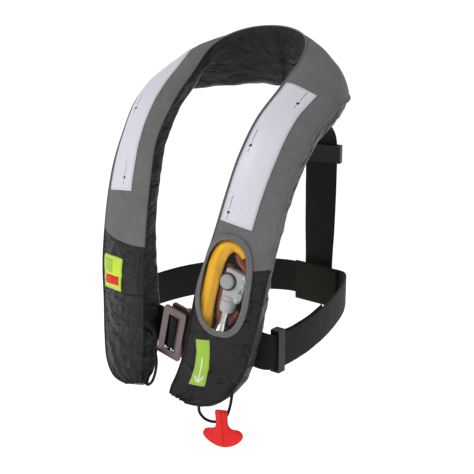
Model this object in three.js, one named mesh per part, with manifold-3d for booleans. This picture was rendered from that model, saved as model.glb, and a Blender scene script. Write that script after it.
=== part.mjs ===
// Inflatable life jacket, automatic, worn as a horseshoe collar with a waist belt and a back strap.
// Millimetres, +Z up. The wearer faces -Y and the wearer's left is +X. Shapes are drawn from a point
// at chest height, midway between the lobes, and the finished group is moved so that its origin is
// where the collar's lining rests against the back of the wearer's neck.
import * as THREE from 'three';
import { mergeVertices } from 'three/addons/utils/BufferGeometryUtils.js';
import Module from 'manifold-3d';

const wasm = await Module();
wasm.setup();

// ---- driving dimensions ----
const NECK_REST = [0, 109, 234]; // middle of the collar's lining, seen from the chest point
const GAP = 0.3; // clearance between sewn or seated neighbours
const RIM_GAP = 0.9; // the covers' edge over the tray's rim
const CLOTH = 3; // quilted cover and lining, thickness of one layer
const WEB_W = 50; // belt and strap webbing, width
const WEB_T = 2.4; // webbing thickness
const TAPE_W = 50; // reflective tape width
const TAPE_T = 0.8;
const TAPE_LIFT = 0.9; // clearance under the tapes where the shoulders curve
const CORD_D = 4; // pull cord and loop cord diameter
const SEAM_S = 210; // where the grey cover meets the black cover, along the lobe
const BOTTOM_S = 14; // where the hollow of the lobe starts, along the lobe
const WINDOW = { s: 187, c: -10, halfLong: 59, halfWide: 30, tilt: -0.11 };
const BINDING_W = 9; // binding around the window
const CYL_R = 12.5; // gas cylinder
const CYL_L = 96;
const FRAME_TILT = 0.22; // the buckle frames lean over towards the wearer's left

// ---- the horseshoe: stations from the lobe's foot to the middle of the neck, left side ----
// inner edge, outer edge, inner wall depth, outer wall depth, crown of the front face
const STATIONS = [
  { in: [26, -180, -170], out: [46, -180, -175], wallIn: 10, wallOut: 8, crown: 2 },
  { in: [27, -176, -158], out: [80, -172, -174], wallIn: 18, wallOut: 12, crown: 5 },
  { in: [31, -170, -143], out: [106, -158, -160], wallIn: 24, wallOut: 18, crown: 8 },
  { in: [36, -161, -115], out: [122, -144, -130], wallIn: 28, wallOut: 28, crown: 9 },
  { in: [41, -154, -75], out: [131, -134, -85], wallIn: 30, wallOut: 32, crown: 9 },
  { in: [46, -147, -30], out: [139, -126, -35], wallIn: 28, wallOut: 31, crown: 9 },
  { in: [53, -136, 10], out: [143, -116, 12], wallIn: 25, wallOut: 28, crown: 8 },
  { in: [60, -122, 55], out: [147, -104, 55], wallIn: 22, wallOut: 26, crown: 8 },
  { in: [66, -106, 103], out: [150, -87, 100], wallIn: 22, wallOut: 26, crown: 9 },
  { in: [71, -88, 146], out: [152, -64, 140], wallIn: 22, wallOut: 26, crown: 10 },
  { in: [73, -52, 190], out: [155, -32, 180], wallIn: 20, wallOut: 26, crown: 12 },
  { in: [76, -5, 224], out: [156, 12, 203], wallIn: 17, wallOut: 26, crown: 14 },
  { in: [76, 45, 258], out: [143, 60, 206], wallIn: 14, wallOut: 31, crown: 18 },
  { in: [50, 86, 276], out: [93, 114, 202], wallIn: 12, wallOut: 31, crown: 16 },
  { in: [0, 104, 282], out: [0, 142, 200], wallIn: 10, wallOut: 22, crown: 10 },
];

const group = new THREE.Group();
group.name = 'inflatable_life_jacket';
group.position.set(-NECK_REST[0], -NECK_REST[1], -NECK_REST[2]);

const LOOKS = {
  grey_cloth: { color: '#6d6e70', roughness: 0.85, metalness: 0 },
  black_cloth: { color: '#1d1d1f', roughness: 0.9, metalness: 0 },
  olive_cloth: { color: '#23231d', roughness: 0.9, metalness: 0 },
  webbing: { color: '#1a1a1a', roughness: 0.85, metalness: 0 },
  tape: { color: '#dcdbe6', roughness: 0.35, metalness: 0 },
  lime: { color: '#b6d92c', roughness: 0.6, metalness: 0 },
  red_print: { color: '#d42a22', roughness: 0.6, metalness: 0 },
  bladder: { color: '#f39a1c', roughness: 0.5, metalness: 0 },
  film: { color: '#e8ecec', roughness: 0.1, metalness: 0 },
  housing: { color: '#c9ccce', roughness: 0.45, metalness: 0 },
  housing_dark: { color: '#9b9fa2', roughness: 0.45, metalness: 0 },
  green: { color: '#2fae6a', roughness: 0.4, metalness: 0 },
  steel: { color: '#c2b6b4', roughness: 0.28, metalness: 1 },
  cylinder: { color: '#d6d8da', roughness: 0.25, metalness: 1 },
  black_plastic: { color: '#17181a', roughness: 0.5, metalness: 0 },
  red_plastic: { color: '#e2231c', roughness: 0.42, metalness: 0 },
  orange_plastic: { color: '#ee6a14', roughness: 0.45, metalness: 0 },
  cord: { color: '#121212', roughness: 0.9, metalness: 0 },
};

function piece(name, geometry, look) {
  const mesh = new THREE.Mesh(geometry, new THREE.MeshStandardMaterial(LOOKS[look]));
  mesh.name = name;
  group.add(mesh);
  return mesh;
}

// ---- solid helpers ----
function signedVolume(geometry) {
  const p = geometry.attributes.position;
  const index = geometry.index.array;
  const a = new THREE.Vector3();
  const b = new THREE.Vector3();
  const c = new THREE.Vector3();
  let sum = 0;
  for (let i = 0; i < index.length; i += 3) {
    a.fromBufferAttribute(p, index[i]);
    b.fromBufferAttribute(p, index[i + 1]);
    c.fromBufferAttribute(p, index[i + 2]);
    sum += a.dot(b.cross(c));
  }
  return sum / 6;
}

function facingOut(geometry) {
  if (signedVolume(geometry) < 0) {
    const index = geometry.index.array;
    for (let i = 0; i < index.length; i += 3) {
      const keep = index[i];
      index[i] = index[i + 1];
      index[i + 1] = keep;
    }
  }
  geometry.computeVertexNormals();
  return geometry;
}

function fromPoints(points, faces) {
  const geometry = new THREE.BufferGeometry();
  const flat = points.flatMap((p) => [p.x, p.y, p.z]);
  geometry.setAttribute('position', new THREE.Float32BufferAttribute(flat, 3));
  geometry.setIndex(faces.flat());
  return facingOut(geometry);
}

// closed solid through a list of rings with the same number of points
function loft(rings, closed = false) {
  const count = rings[0].length;
  const points = rings.flat();
  const faces = [];
  const spans = closed ? rings.length : rings.length - 1;
  for (let i = 0; i < spans; i++) {
    const next = (i + 1) % rings.length;
    for (let j = 0; j < count; j++) {
      const k = (j + 1) % count;
      const a = i * count + j;
      const b = i * count + k;
      const c = next * count + k;
      const d = next * count + j;
      faces.push([a, b, c], [a, c, d]);
    }
  }
  if (!closed) {
    for (const end of [0, rings.length - 1]) {
      const middle = new THREE.Vector3();
      rings[end].forEach((p) => middle.addScaledVector(p, 1 / count));
      const hub = points.push(middle) - 1;
      for (let j = 0; j < count; j++) {
        const a = end * count + j;
        const b = end * count + ((j + 1) % count);
        faces.push(end === 0 ? [hub, b, a] : [hub, a, b]);
      }
    }
  }
  return fromPoints(points, faces);
}

// thick sheet over a grid: place(u, v, side) gives the point, side 1 is the outer skin
function sheet(nu, nv, place) {
  const points = [];
  const faces = [];
  const at = (side, i, j) => (side * (nu + 1) + i) * (nv + 1) + j;
  for (const side of [0, 1]) {
    for (let i = 0; i <= nu; i++) {
      for (let j = 0; j <= nv; j++) {
        points.push(place(i / nu, j / nv, side));
      }
    }
  }
  const quad = (a, b, c, d) => faces.push([a, b, c], [a, c, d]);
  for (let i = 0; i < nu; i++) {
    for (let j = 0; j < nv; j++) {
      quad(at(1, i, j), at(1, i + 1, j), at(1, i + 1, j + 1), at(1, i, j + 1));
      quad(at(0, i, j), at(0, i, j + 1), at(0, i + 1, j + 1), at(0, i + 1, j));
    }
    quad(at(0, i, 0), at(0, i + 1, 0), at(1, i + 1, 0), at(1, i, 0));
    quad(at(1, i, nv), at(1, i + 1, nv), at(0, i + 1, nv), at(0, i, nv));
  }
  for (let j = 0; j < nv; j++) {
    quad(at(1, 0, j), at(1, 0, j + 1), at(0, 0, j + 1), at(0, 0, j));
    quad(at(0, nu, j), at(0, nu, j + 1), at(1, nu, j + 1), at(1, nu, j));
  }
  return fromPoints(points, faces);
}

function toManifold(geometry) {
  const g = geometry.clone();
  g.deleteAttribute('normal');
  g.deleteAttribute('uv');
  const m = mergeVertices(g, 1e-4);
  return new wasm.Manifold(new wasm.Mesh({
    numProp: 3,
    vertProperties: new Float32Array(m.attributes.position.array),
    triVerts: new Uint32Array(m.index.array),
  }));
}

function fromManifold(manifold) {
  const mesh = manifold.getMesh();
  const geometry = new THREE.BufferGeometry();
  geometry.setAttribute('position', new THREE.BufferAttribute(Float32Array.from(mesh.vertProperties), 3));
  geometry.setIndex(Array.from(mesh.triVerts));
  return facingOut(geometry);
}

const cut = (a, ...tools) => fromManifold(tools.reduce((m, t) => m.subtract(toManifold(t)), toManifold(a)));
const join = (a, ...more) => fromManifold(more.reduce((m, t) => m.add(toManifold(t)), toManifold(a)));

// round tube along a smooth curve, closed at both ends
function tube(points, diameter, sides, steps) {
  const curve = new THREE.CatmullRomCurve3(points);
  const ring = new THREE.Shape();
  for (let i = 0; i < sides; i++) {
    const a = (i * 2 * Math.PI) / sides;
    const x = (Math.cos(a) * diameter) / 2;
    const y = (Math.sin(a) * diameter) / 2;
    if (i === 0) ring.moveTo(x, y);
    else ring.lineTo(x, y);
  }
  const g = new THREE.ExtrudeGeometry(ring, { steps, extrudePath: curve, bevelEnabled: false });
  g.deleteAttribute('normal');
  g.deleteAttribute('uv');
  return facingOut(mergeVertices(g, 1e-4));
}

const vec = (p) => new THREE.Vector3(...p);
const mirrored = (p) => [-p[0], p[1], p[2]];

// ---- the horseshoe's surface ----
const otherSide = STATIONS.slice(0, -1).reverse();
const walk = [
  ...STATIONS,
  ...otherSide.map((s) => ({ ...s, in: mirrored(s.in), out: mirrored(s.out) })),
];
const innerRail = new THREE.CatmullRomCurve3(walk.map((s) => vec(s.in)));
const outerRail = new THREE.CatmullRomCurve3(walk.map((s) => vec(s.out)));
const sizes = new THREE.CatmullRomCurve3(walk.map((s) => new THREE.Vector3(s.wallIn, s.wallOut, s.crown)));

const middleAt = (t) => innerRail.getPoint(t).add(outerRail.getPoint(t)).multiplyScalar(0.5);

const TRAVEL_STEPS = 1200;
const travel = [0];
for (let i = 1; i <= TRAVEL_STEPS; i++) {
  travel.push(travel[i - 1] + middleAt(i / TRAVEL_STEPS).distanceTo(middleAt((i - 1) / TRAVEL_STEPS)));
}
const LENGTH = travel[TRAVEL_STEPS];

// share of the way round for a distance along the middle line, from the left lobe's foot
function shareAt(s) {
  const want = Math.min(Math.max(s, 0), LENGTH);
  let i = travel.findIndex((d) => d >= want);
  i = Math.max(i, 1);
  return (i - 1 + (want - travel[i - 1]) / (travel[i] - travel[i - 1])) / TRAVEL_STEPS;
}

// local frame at distance s: across from inner to outer edge, along, and out of the front face
function frameAt(s) {
  const t = shareAt(s);
  const inner = innerRail.getPoint(t);
  const outer = outerRail.getPoint(t);
  const width = inner.distanceTo(outer);
  const across = outer.clone().sub(inner).normalize();
  const ahead = middleAt(Math.min(t + 0.002, 1)).sub(middleAt(Math.max(t - 0.002, 0)));
  const out = new THREE.Vector3().crossVectors(across, ahead).normalize();
  const along = new THREE.Vector3().crossVectors(out, across);
  const [wallIn, wallOut, crown] = sizes.getPoint(t).toArray();
  return { inner, across, along, out, width, wallIn, wallOut, crown };
}

const crownShape = (k) => 1 - Math.abs(2 * k - 1) ** 2.6;

// point of the front face: s along, k across (0 inner edge, 1 outer edge), lift above the face
function face(s, k, lift) {
  const f = frameAt(s);
  return f.inner.clone()
    .addScaledVector(f.across, k * f.width)
    .addScaledVector(f.out, f.crown * crownShape(k) + lift);
}

// the same with c in millimetres from the middle line; side -1 is the wearer's right lobe
function skin(side, s, c, lift) {
  const way = side > 0 ? s : LENGTH - s;
  return face(way, 0.5 + c / frameAt(way).width, lift);
}

// point of the cross-section, x from the inner edge, n out of the flat face
function section(f, x, n) {
  return f.inner.clone().addScaledVector(f.across, x).addScaledVector(f.out, n);
}

function stops(from, to, step) {
  const n = Math.max(2, Math.round((to - from) / step));
  return Array.from({ length: n + 1 }, (_, i) => from + ((to - from) * i) / n);
}

// ---- lining tray: back panel and side walls in one closed channel ----
function trayRing(s) {
  const f = frameAt(s);
  const top = -CLOTH - RIM_GAP;
  const w = f.width;
  return [
    section(f, 0, top),
    section(f, -1.5, (top - f.wallIn) / 2),
    section(f, 1.5, 1 - f.wallIn),
    section(f, w * 0.2, -f.wallIn * 0.85 - f.wallOut * 0.15),
    section(f, w * 0.8, -f.wallIn * 0.15 - f.wallOut * 0.85),
    section(f, w - 1.5, 1 - f.wallOut),
    section(f, w + 1.5, (top - f.wallOut) / 2),
    section(f, w, top),
  ];
}

// the space inside the tray, drawn in by inset on the sides and the back
function hollowRing(s, inset) {
  const f = frameAt(s);
  const w = f.width;
  const d = CLOTH + inset;
  return [
    section(f, d, 4),
    section(f, d - 1, (-CLOTH - f.wallIn) / 2),
    section(f, d + 1.5, d + 1.5 - f.wallIn),
    section(f, w * 0.2, d - f.wallIn * 0.85 - f.wallOut * 0.15),
    section(f, w * 0.8, d - f.wallIn * 0.15 - f.wallOut * 0.85),
    section(f, w - d - 1.5, d + 1.5 - f.wallOut),
    section(f, w - d + 1, (-CLOTH - f.wallOut) / 2),
    section(f, w - d, 4),
  ];
}

const HOLLOW_STOPS = stops(BOTTOM_S, LENGTH - BOTTOM_S, 26);
const hollow = loft(HOLLOW_STOPS.map((s) => hollowRing(s, 0)));

// ---- the inflator's own frame: x across the lobe, y up along it, z out of its face ----
const BAY = frameAt(WINDOW.s);
const bayOrigin = section(BAY, BAY.width / 2, -12);
const LEAN = -0.15; // the inflator's top leans towards the outer edge
const bayAcross = BAY.across.clone()
  .multiplyScalar(Math.cos(LEAN))
  .addScaledVector(BAY.along, Math.sin(LEAN));
const bayUp = new THREE.Vector3().crossVectors(BAY.out, bayAcross);
const bayMatrix = new THREE.Matrix4().makeBasis(bayAcross, bayUp, BAY.out).setPosition(bayOrigin);
const inBay = (x, y, z) => new THREE.Vector3(x, y, z).applyMatrix4(bayMatrix);

function bay(geometry, x = 0, y = 0, z = 0) {
  return geometry.translate(x, y, z).applyMatrix4(bayMatrix);
}

// ---- pull cord and handle: route from the lever, out of the lobe's foot, through the handle ----
const CORD_ROUTE = [
  [118.5, -119.5, -41.5],
  [114, -126, -72],
  [108, -134, -105],
  [108, -143, -135],
  [110, -151, -156],
  [111, -158, -174],
  [109, -163, -185],
  [103, -166.5, -191],
  [94, -169.5, -194],
  [82, -173, -192],
  [73, -174, -184],
  [70, -171, -173],
  [68, -164, -161],
];

// ---- lining with the two cord openings at the foot ----
const cordWay = tube(CORD_ROUTE.map(vec), CORD_D + 2.4, 10, 40);

const trayBlock = loft(stops(1, LENGTH - 1, 22).map(trayRing));
piece('lining_tray', cut(trayBlock, hollow, cordWay), 'black_cloth');

// ---- front covers: grey above the seams, black below ----
function cover(from, to, rows) {
  return sheet(rows, 8, (u, v, side) => face(from + (to - from) * u, v, side ? 0 : -CLOTH));
}

function ovalPoint(angle, grow) {
  // rounded oblong, long way along the lobe
  const e = 0.78;
  const along = Math.sign(Math.cos(angle)) * Math.abs(Math.cos(angle)) ** e * (WINDOW.halfLong + grow);
  const over = Math.sign(Math.sin(angle)) * Math.abs(Math.sin(angle)) ** e * (WINDOW.halfWide + grow);
  return { s: WINDOW.s + along, c: WINDOW.c + over + along * WINDOW.tilt };
}

const OVAL_SIDES = 36;
const around = Array.from({ length: OVAL_SIDES }, (_, i) => (i * 2 * Math.PI) / OVAL_SIDES);
const ovalRing = (grow, lift) => around.map((a) => {
  const { s, c } = ovalPoint(a, grow);
  return skin(1, s, c, lift);
});

// window plug used as a cutter: concentric rings so the top and bottom follow the curved face
function ovalPlate(grow, low, high) {
  const shares = [1, 0.66, 0.33];
  const ring = (share, lift) => around.map((a) => {
    const { s, c } = ovalPoint(a, grow);
    return skin(1, WINDOW.s + (s - WINDOW.s) * share, WINDOW.c + (c - WINDOW.c) * share, lift);
  });
  return loft([...shares.slice().reverse().map((k) => ring(k, low)), ...shares.map((k) => ring(k, high))]);
}

const windowCutter = ovalPlate(0, -12, 8);
const coverSteps = 12;
piece('cover_black_left', cut(cover(2, SEAM_S - GAP, coverSteps), windowCutter, cordWay), 'black_cloth');
piece('cover_grey', cut(cover(SEAM_S, LENGTH - SEAM_S, 40), windowCutter), 'grey_cloth');
piece('cover_black_right', cover(LENGTH - SEAM_S + GAP, LENGTH - 2, coverSteps), 'black_cloth');

piece('window_film', ovalPlate(-GAP, -2.2, -1.4), 'film');
piece('window_binding', loft([
  ovalRing(1, GAP),
  ovalRing(BINDING_W, GAP),
  ovalRing(BINDING_W - 0.6, 2.2),
  ovalRing(0.6, 2.6),
], true), 'grey_cloth');

// ---- reflective tapes and labels sewn on the covers ----
function patch(side, corners, low, high, nu, nv) {
  const [a, b, c, d] = corners;
  return sheet(nu, nv, (u, v, top) => {
    const s = (a[0] * (1 - u) + d[0] * u) * (1 - v) + (b[0] * (1 - u) + c[0] * u) * v;
    const x = (a[1] * (1 - u) + d[1] * u) * (1 - v) + (b[1] * (1 - u) + c[1] * u) * v;
    return skin(side, s, x, top ? high : low);
  });
}

// corners of a tape between two places along the lobe, its ends cut on a slight slant
function tapeCorners(from, to, inner, drift) {
  const slant = 8;
  return [
    [from, inner],
    [from - slant, inner + TAPE_W],
    [to - slant, inner + drift + TAPE_W],
    [to, inner + drift],
  ];
}

const TAPE_LEFT = tapeCorners(272, 471, -40, 3);
const TAPE_RIGHT = tapeCorners(281, 506, -15, -2);
piece('reflective_tape_left', patch(1, TAPE_LEFT, TAPE_LIFT, TAPE_LIFT + TAPE_T, 14, 6), 'tape');
piece('reflective_tape_right', patch(-1, TAPE_RIGHT, TAPE_LIFT, TAPE_LIFT + TAPE_T, 16, 6), 'tape');

const INFO_LABEL = [[142, -8], [141, 38], [185, 38], [187, -8]];
const INFO_BLOCK = [[149, -3], [148, 33], [160, 33], [161, -3]];
const PULL_LABEL = [[39, -14], [45, 6], [110, -11], [105, -31]];
piece('info_label', patch(-1, INFO_LABEL, GAP, GAP + TAPE_T, 4, 4), 'lime');
piece('info_label_block', patch(-1, INFO_BLOCK, 2 * GAP + TAPE_T, 2 * GAP + TAPE_T + 0.5, 2, 4), 'red_print');
piece('pull_label', patch(1, PULL_LABEL, GAP, GAP + TAPE_T, 5, 3), 'lime');

// ---- folded bladder: packed in the collar, rolled along the inner edge of each lobe ----
function bladderRing(s) {
  const f = frameAt(s);
  const front = (k) => f.crown * crownShape(k) - CLOTH - 3;
  const back = hollowRing(s, 1.2).slice(2, 6);
  return back.concat([0.92, 0.7, 0.5, 0.3, 0.08].map((k) => section(f, f.width * k, front(k))));
}

function rollRing(s, centre, depth, wide, deep) {
  const f = frameAt(s);
  return Array.from({ length: 10 }, (_, i) => {
    const a = (i * 2 * Math.PI) / 10;
    return section(f, f.width / 2 + centre + (wide * Math.cos(a)) / 2, depth + (deep * Math.sin(a)) / 2);
  });
}

const PACKED_S = 262; // where the packed bladder narrows to the roll
const packedStops = HOLLOW_STOPS.filter((at) => at > PACKED_S - 10 && at < LENGTH - PACKED_S + 10);
const packed = loft(packedStops.map(bladderRing));
const taper = (s) => Math.min(1, (s - 10) / 80); // the rolls thin out towards the foot
const leftRoll = loft(stops(50, PACKED_S + 30, 28)
  .map((s) => rollRing(s, -31 + 6 * (1 - taper(s)), -8, 20 * taper(s), 18 * taper(s))));
const rightRoll = loft(stops(50, PACKED_S + 30, 28)
  .map((s) => rollRing(LENGTH - s, -24 + 4 * (1 - taper(s)), -8, 22 * taper(s), 18 * taper(s))));
piece('bladder', join(packed, leftRoll, rightRoll), 'bladder');

// ---- inflator, seen through the window ----
function lathe(profile, sides) {
  const points = profile.map(([r, y]) => new THREE.Vector2(r, y));
  points.push(points[0].clone());
  const g = new THREE.LatheGeometry(points, sides);
  g.deleteAttribute('normal');
  g.deleteAttribute('uv');
  return facingOut(cleaned(mergeVertices(g, 1e-4)));
}

function cleaned(geometry) {
  const index = Array.from(geometry.index.array);
  const kept = [];
  for (let i = 0; i < index.length; i += 3) {
    const [a, b, c] = index.slice(i, i + 3);
    if (a !== b && b !== c && a !== c) kept.push(a, b, c);
  }
  geometry.setIndex(kept);
  return geometry;
}

const rod = (radius, length, sides) => lathe([[0, 0], [radius, 0], [radius, length], [0, length]], sides);

function box(w, h, d) {
  const g = new THREE.BoxGeometry(w, h, d);
  g.deleteAttribute('normal');
  g.deleteAttribute('uv');
  return facingOut(mergeVertices(g, 1e-4));
}

const HOUSING = { w: 34, h: 40, d: 14, x: 4, y: -1 };
const CAP_X = -9;
const SOCKET_R = 11;
const housingBody = bay(box(HOUSING.w, HOUSING.h, HOUSING.d), HOUSING.x, HOUSING.y, -1);
const socket = bay(lathe([[0, 0], [SOCKET_R, 0], [SOCKET_R, 20], [0, 20]], 20), -4, -38, -1);
const socketBore = bay(rod(7 + GAP, 16, 20), -4, -40, -1);
const pinBore = bay(rod(2 + GAP, 14, 12), -4, -26, -1);
const leverSlot = bay(box(10, 18, 7.2), 18, -18, 0);
piece('inflator_body', cut(join(housingBody, socket), socketBore, pinBore, leverSlot), 'housing');
piece('inflator_cap', bay(lathe([[0, 0], [10, 0], [10, 4], [8.5, 5.5], [0, 5.5]], 24)
  .rotateX(Math.PI / 2), CAP_X, 3, 6 + GAP), 'housing_dark');
piece('status_indicator', bay(box(5, 7, 1), 13, -4, 6.5 + GAP), 'green');
piece('inflator_screw', bay(rod(2, 1.4, 12).rotateX(Math.PI / 2), 12, 14, 6 + GAP), 'steel');
piece('firing_pin', bay(rod(2, 9, 12), -4, -23.4, -1), 'steel');
piece('inflator_lever', bay(box(17, 5, 6), 23.5, -16, 0), 'black_plastic');
piece('gas_cylinder', bay(lathe([
  [0, 0], [7, 0], [CYL_R - 1.5, 2], [CYL_R, 5], [CYL_R, CYL_L - 14], [CYL_R - 3, CYL_L - 6],
  [6.5, CYL_L - 1], [6.5, CYL_L + 13], [0, CYL_L + 13],
], 20), -4, -40 - CYL_L + 1, -1), 'cylinder');

// ---- oral tube, its cap and the whistle, packed in the wearer's right lobe ----
const TUBE_S = [80, 110, 150, 190, 226];
const tubeRoute = TUBE_S.map((s) => {
  const f = frameAt(LENGTH - s);
  return section(f, f.width / 2 + 20, -10);
});
piece('oral_tube', tube(tubeRoute, 13, 12, 12), 'black_plastic');
const capFrame = frameAt(LENGTH - 70);
const tubeEnd = tubeRoute[0];
const tubeWay = tubeRoute[0].clone().sub(tubeRoute[1]).normalize();
const capTurn = new THREE.Quaternion().setFromUnitVectors(new THREE.Vector3(0, 1, 0), tubeWay);
const settle = (g, at) => g.applyQuaternion(capTurn).translate(at.x, at.y, at.z);
const capSeat = tubeEnd.clone().addScaledVector(tubeWay, GAP);
piece('oral_tube_cap', settle(rod(8, 12, 16), capSeat), 'orange_plastic');
const whistleMatrix = new THREE.Matrix4()
  .makeBasis(capFrame.across, capFrame.along, capFrame.out)
  .setPosition(section(capFrame, capFrame.width / 2 + 4, -10));
piece('whistle', box(11, 38, 9).applyMatrix4(whistleMatrix), 'orange_plastic');

// ---- webbing ----
function webbing(points, ups, width, thick, steps) {
  const curve = new THREE.CatmullRomCurve3(points.map(vec));
  const lean = new THREE.CatmullRomCurve3(ups.map(vec));
  const rings = [];
  for (let i = 0; i <= steps; i++) {
    const t = i / steps;
    const p = curve.getPoint(t);
    const way = curve.getTangent(t);
    const up = lean.getPoint(t);
    up.addScaledVector(way, -up.dot(way)).normalize();
    const off = new THREE.Vector3().crossVectors(way, up);
    const corner = (a, b) => p.clone()
      .addScaledVector(up, (a * width) / 2)
      .addScaledVector(off, (b * thick) / 2);
    rings.push([corner(-1, -1), corner(1, -1), corner(1, 1), corner(-1, 1)]);
  }
  return loft(rings);
}

// route of the waist belt: front buckle frame, behind the wearer's right lobe, round the back,
// behind the wearer's left lobe, rear buckle frame
const BELT_ROUTE = [
  [-8.5, -143.6, -96],
  [-17, -137, -97],
  [-32, -125.5, -99],
  [-75, -115, -102],
  [-116, -104.5, -106],
  [-133, -88, -108],
  [-144, -50, -109],
  [-146, 0, -109],
  [-130, 70, -110],
  [-92, 146, -115],
  [-50, 191, -120],
  [0, 196, -121],
  [50, 190, -117],
  [84, 148, -109],
  [114, 72, -109],
  [129, 0, -112],
  [133, -50, -113],
  [133, -82, -112],
  [128, -98, -110],
  [114, -105, -106],
  [75, -115, -102],
  [32, -126, -99],
  [20, -137.6, -97],
];
const beltUp = (p) => {
  if (Math.abs(p[0]) < 25 && p[1] < 0) return [FRAME_TILT, 0, 1];
  return p[1] < -95 ? [0, 0.16, 1] : [0, 0.03, 1];
};
piece('waist_belt', webbing(BELT_ROUTE, BELT_ROUTE.map(beltUp), WEB_W, WEB_T, 84), 'webbing');

// tail of the belt, doubled back through the slider on the inside
const TAIL_ROUTE = [
  [128, -84, -111.5],
  [128.6, -50, -113],
  [124.4, 0, -112],
  [114.5, 48, -110.5],
];
piece('belt_tail', webbing(TAIL_ROUTE, TAIL_ROUTE.map(() => [0, 0.03, 1]), WEB_W, WEB_T, 12), 'webbing');

// sleeve around webbing: w across the web, h along it, d through it
function sleeve(w, h, d, slotW, slotD) {
  return cut(box(w, d, h), box(slotW, slotD, h + 10));
}

const turned = (g, xAxis, yAxis, at) => g.applyMatrix4(
  new THREE.Matrix4().makeBasis(xAxis, yAxis, xAxis.clone().cross(yAxis)).setPosition(...at),
);

const upright = new THREE.Vector3(0, 0, 1);
const sideways = new THREE.Vector3(1, 0, 0);
const slider = sleeve(60, 14, 14, 53.5, 10);
piece('belt_slider', turned(slider, upright, sideways, [130.6, -79, -112]), 'black_plastic');

// ---- back: strap from the collar, its adjuster and the patch that holds it to the belt ----
const STRAP_ROUTE = [
  [0, 132.9, 193.2],
  [0, 146, 176],
  [0, 164, 152],
  [0, 186, 128],
  [0, 201, 106],
  [0, 204, 80],
  [0, 204, 20],
  [0, 203, -40],
  [0, 202, -90],
  [0, 202, -140],
];
const STRAP_TURN = [0, 0.05, 0.14, 0.22, 0.26, 0.26, 0.22, 0.12, 0, 0];
const strapUps = STRAP_ROUTE.map((p, i) => [1, STRAP_TURN[i], 0]);
piece('back_strap', webbing(STRAP_ROUTE, strapUps, WEB_W, WEB_T, 36), 'webbing');

const ADJUSTER_TURN = Math.atan(0.26);
const acrossStrap = new THREE.Vector3(Math.cos(ADJUSTER_TURN), Math.sin(ADJUSTER_TURN), 0);
const throughStrap = new THREE.Vector3(-Math.sin(ADJUSTER_TURN), Math.cos(ADJUSTER_TURN), 0);
const adjuster = sleeve(62, 27, 10, 53.5, 6);
piece('back_adjuster', turned(adjuster, acrossStrap, throughStrap, [0, 204, 80]), 'black_plastic');

const PATCH = { w: 76, h: 62, t: 3, x: 4, y: 189, z: -122 };
const patchPlate = box(PATCH.w, PATCH.t, PATCH.h).translate(PATCH.x, PATCH.y, PATCH.z);
piece('back_patch', patchPlate, 'olive_cloth');

// ---- buckle: two slotted steel frames that hook into each other ----
const FRAME = { w: 38, h: 72, t: 4, slotW: 17, slotH: 54, corner: 3 };

function slottedFrame(w, h, t, slotW, slotH, corner) {
  const outline = roundedBox(w, h, corner);
  outline.holes.push(roundedBox(slotW, slotH, 1.5));
  const g = new THREE.ExtrudeGeometry(outline, { depth: t, bevelEnabled: false, curveSegments: 3 });
  g.deleteAttribute('normal');
  g.deleteAttribute('uv');
  return facingOut(mergeVertices(g, 1e-4)).translate(0, 0, -t / 2);
}

function roundedBox(w, h, r) {
  const shape = new THREE.Shape();
  shape.moveTo(-w / 2 + r, -h / 2);
  shape.lineTo(w / 2 - r, -h / 2);
  shape.absarc(w / 2 - r, -h / 2 + r, r, -Math.PI / 2, 0);
  shape.lineTo(w / 2, h / 2 - r);
  shape.absarc(w / 2 - r, h / 2 - r, r, 0, Math.PI / 2);
  shape.lineTo(-w / 2 + r, h / 2);
  shape.absarc(-w / 2 + r, h / 2 - r, r, Math.PI / 2, Math.PI);
  shape.lineTo(-w / 2, -h / 2 + r);
  shape.absarc(-w / 2 + r, -h / 2 + r, r, Math.PI, 1.5 * Math.PI);
  return shape;
}

// frames stand in the x-z plane and face forward, leaning by FRAME_TILT
const frameMatrix = (at) => new THREE.Matrix4()
  .makeRotationY(FRAME_TILT)
  .multiply(new THREE.Matrix4().makeRotationX(Math.PI / 2))
  .setPosition(...at);
const frontFrame = slottedFrame(FRAME.w, FRAME.h, FRAME.t, FRAME.slotW, FRAME.slotH, FRAME.corner);
piece('buckle_frame_front', frontFrame.applyMatrix4(frameMatrix([8, -151, -95])), 'steel');
const rearFrame = join(
  slottedFrame(FRAME.w - 4, FRAME.h - 4, FRAME.t, FRAME.slotW, FRAME.slotH - 2, FRAME.corner),
  ...[-1, 1].map((k) => box(5, 8, 5).translate(FRAME.w / 2 - 7, k * (FRAME.h / 2 - 3), 1)),
);
piece('buckle_frame_rear', rearFrame.applyMatrix4(frameMatrix([13, -142, -91])), 'steel');

// ---- pull handle: mushroom grip on a flat stem ----
const GRIP = { stem: 8, half: 29, tall: 51, thick: 6 };
const HANDLE_AT = [103.5, -166.5, -178];
const HANDLE_TURN = 0.26;
const HANDLE_LEAN = 0.08;

function gripOutline() {
  const shape = new THREE.Shape();
  shape.moveTo(-GRIP.stem, 0);
  shape.lineTo(-GRIP.stem, -16);
  shape.quadraticCurveTo(-GRIP.stem - 1, -23, -21, -24);
  shape.quadraticCurveTo(-GRIP.half, -26, -GRIP.half, -32);
  shape.quadraticCurveTo(-GRIP.half + 1, -40, -17, -46);
  shape.quadraticCurveTo(0, -GRIP.tall - 4, 17, -46);
  shape.quadraticCurveTo(GRIP.half - 1, -40, GRIP.half, -32);
  shape.quadraticCurveTo(GRIP.half, -26, 21, -24);
  shape.quadraticCurveTo(GRIP.stem + 1, -23, GRIP.stem, -16);
  shape.lineTo(GRIP.stem, 0);
  return shape;
}

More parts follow.
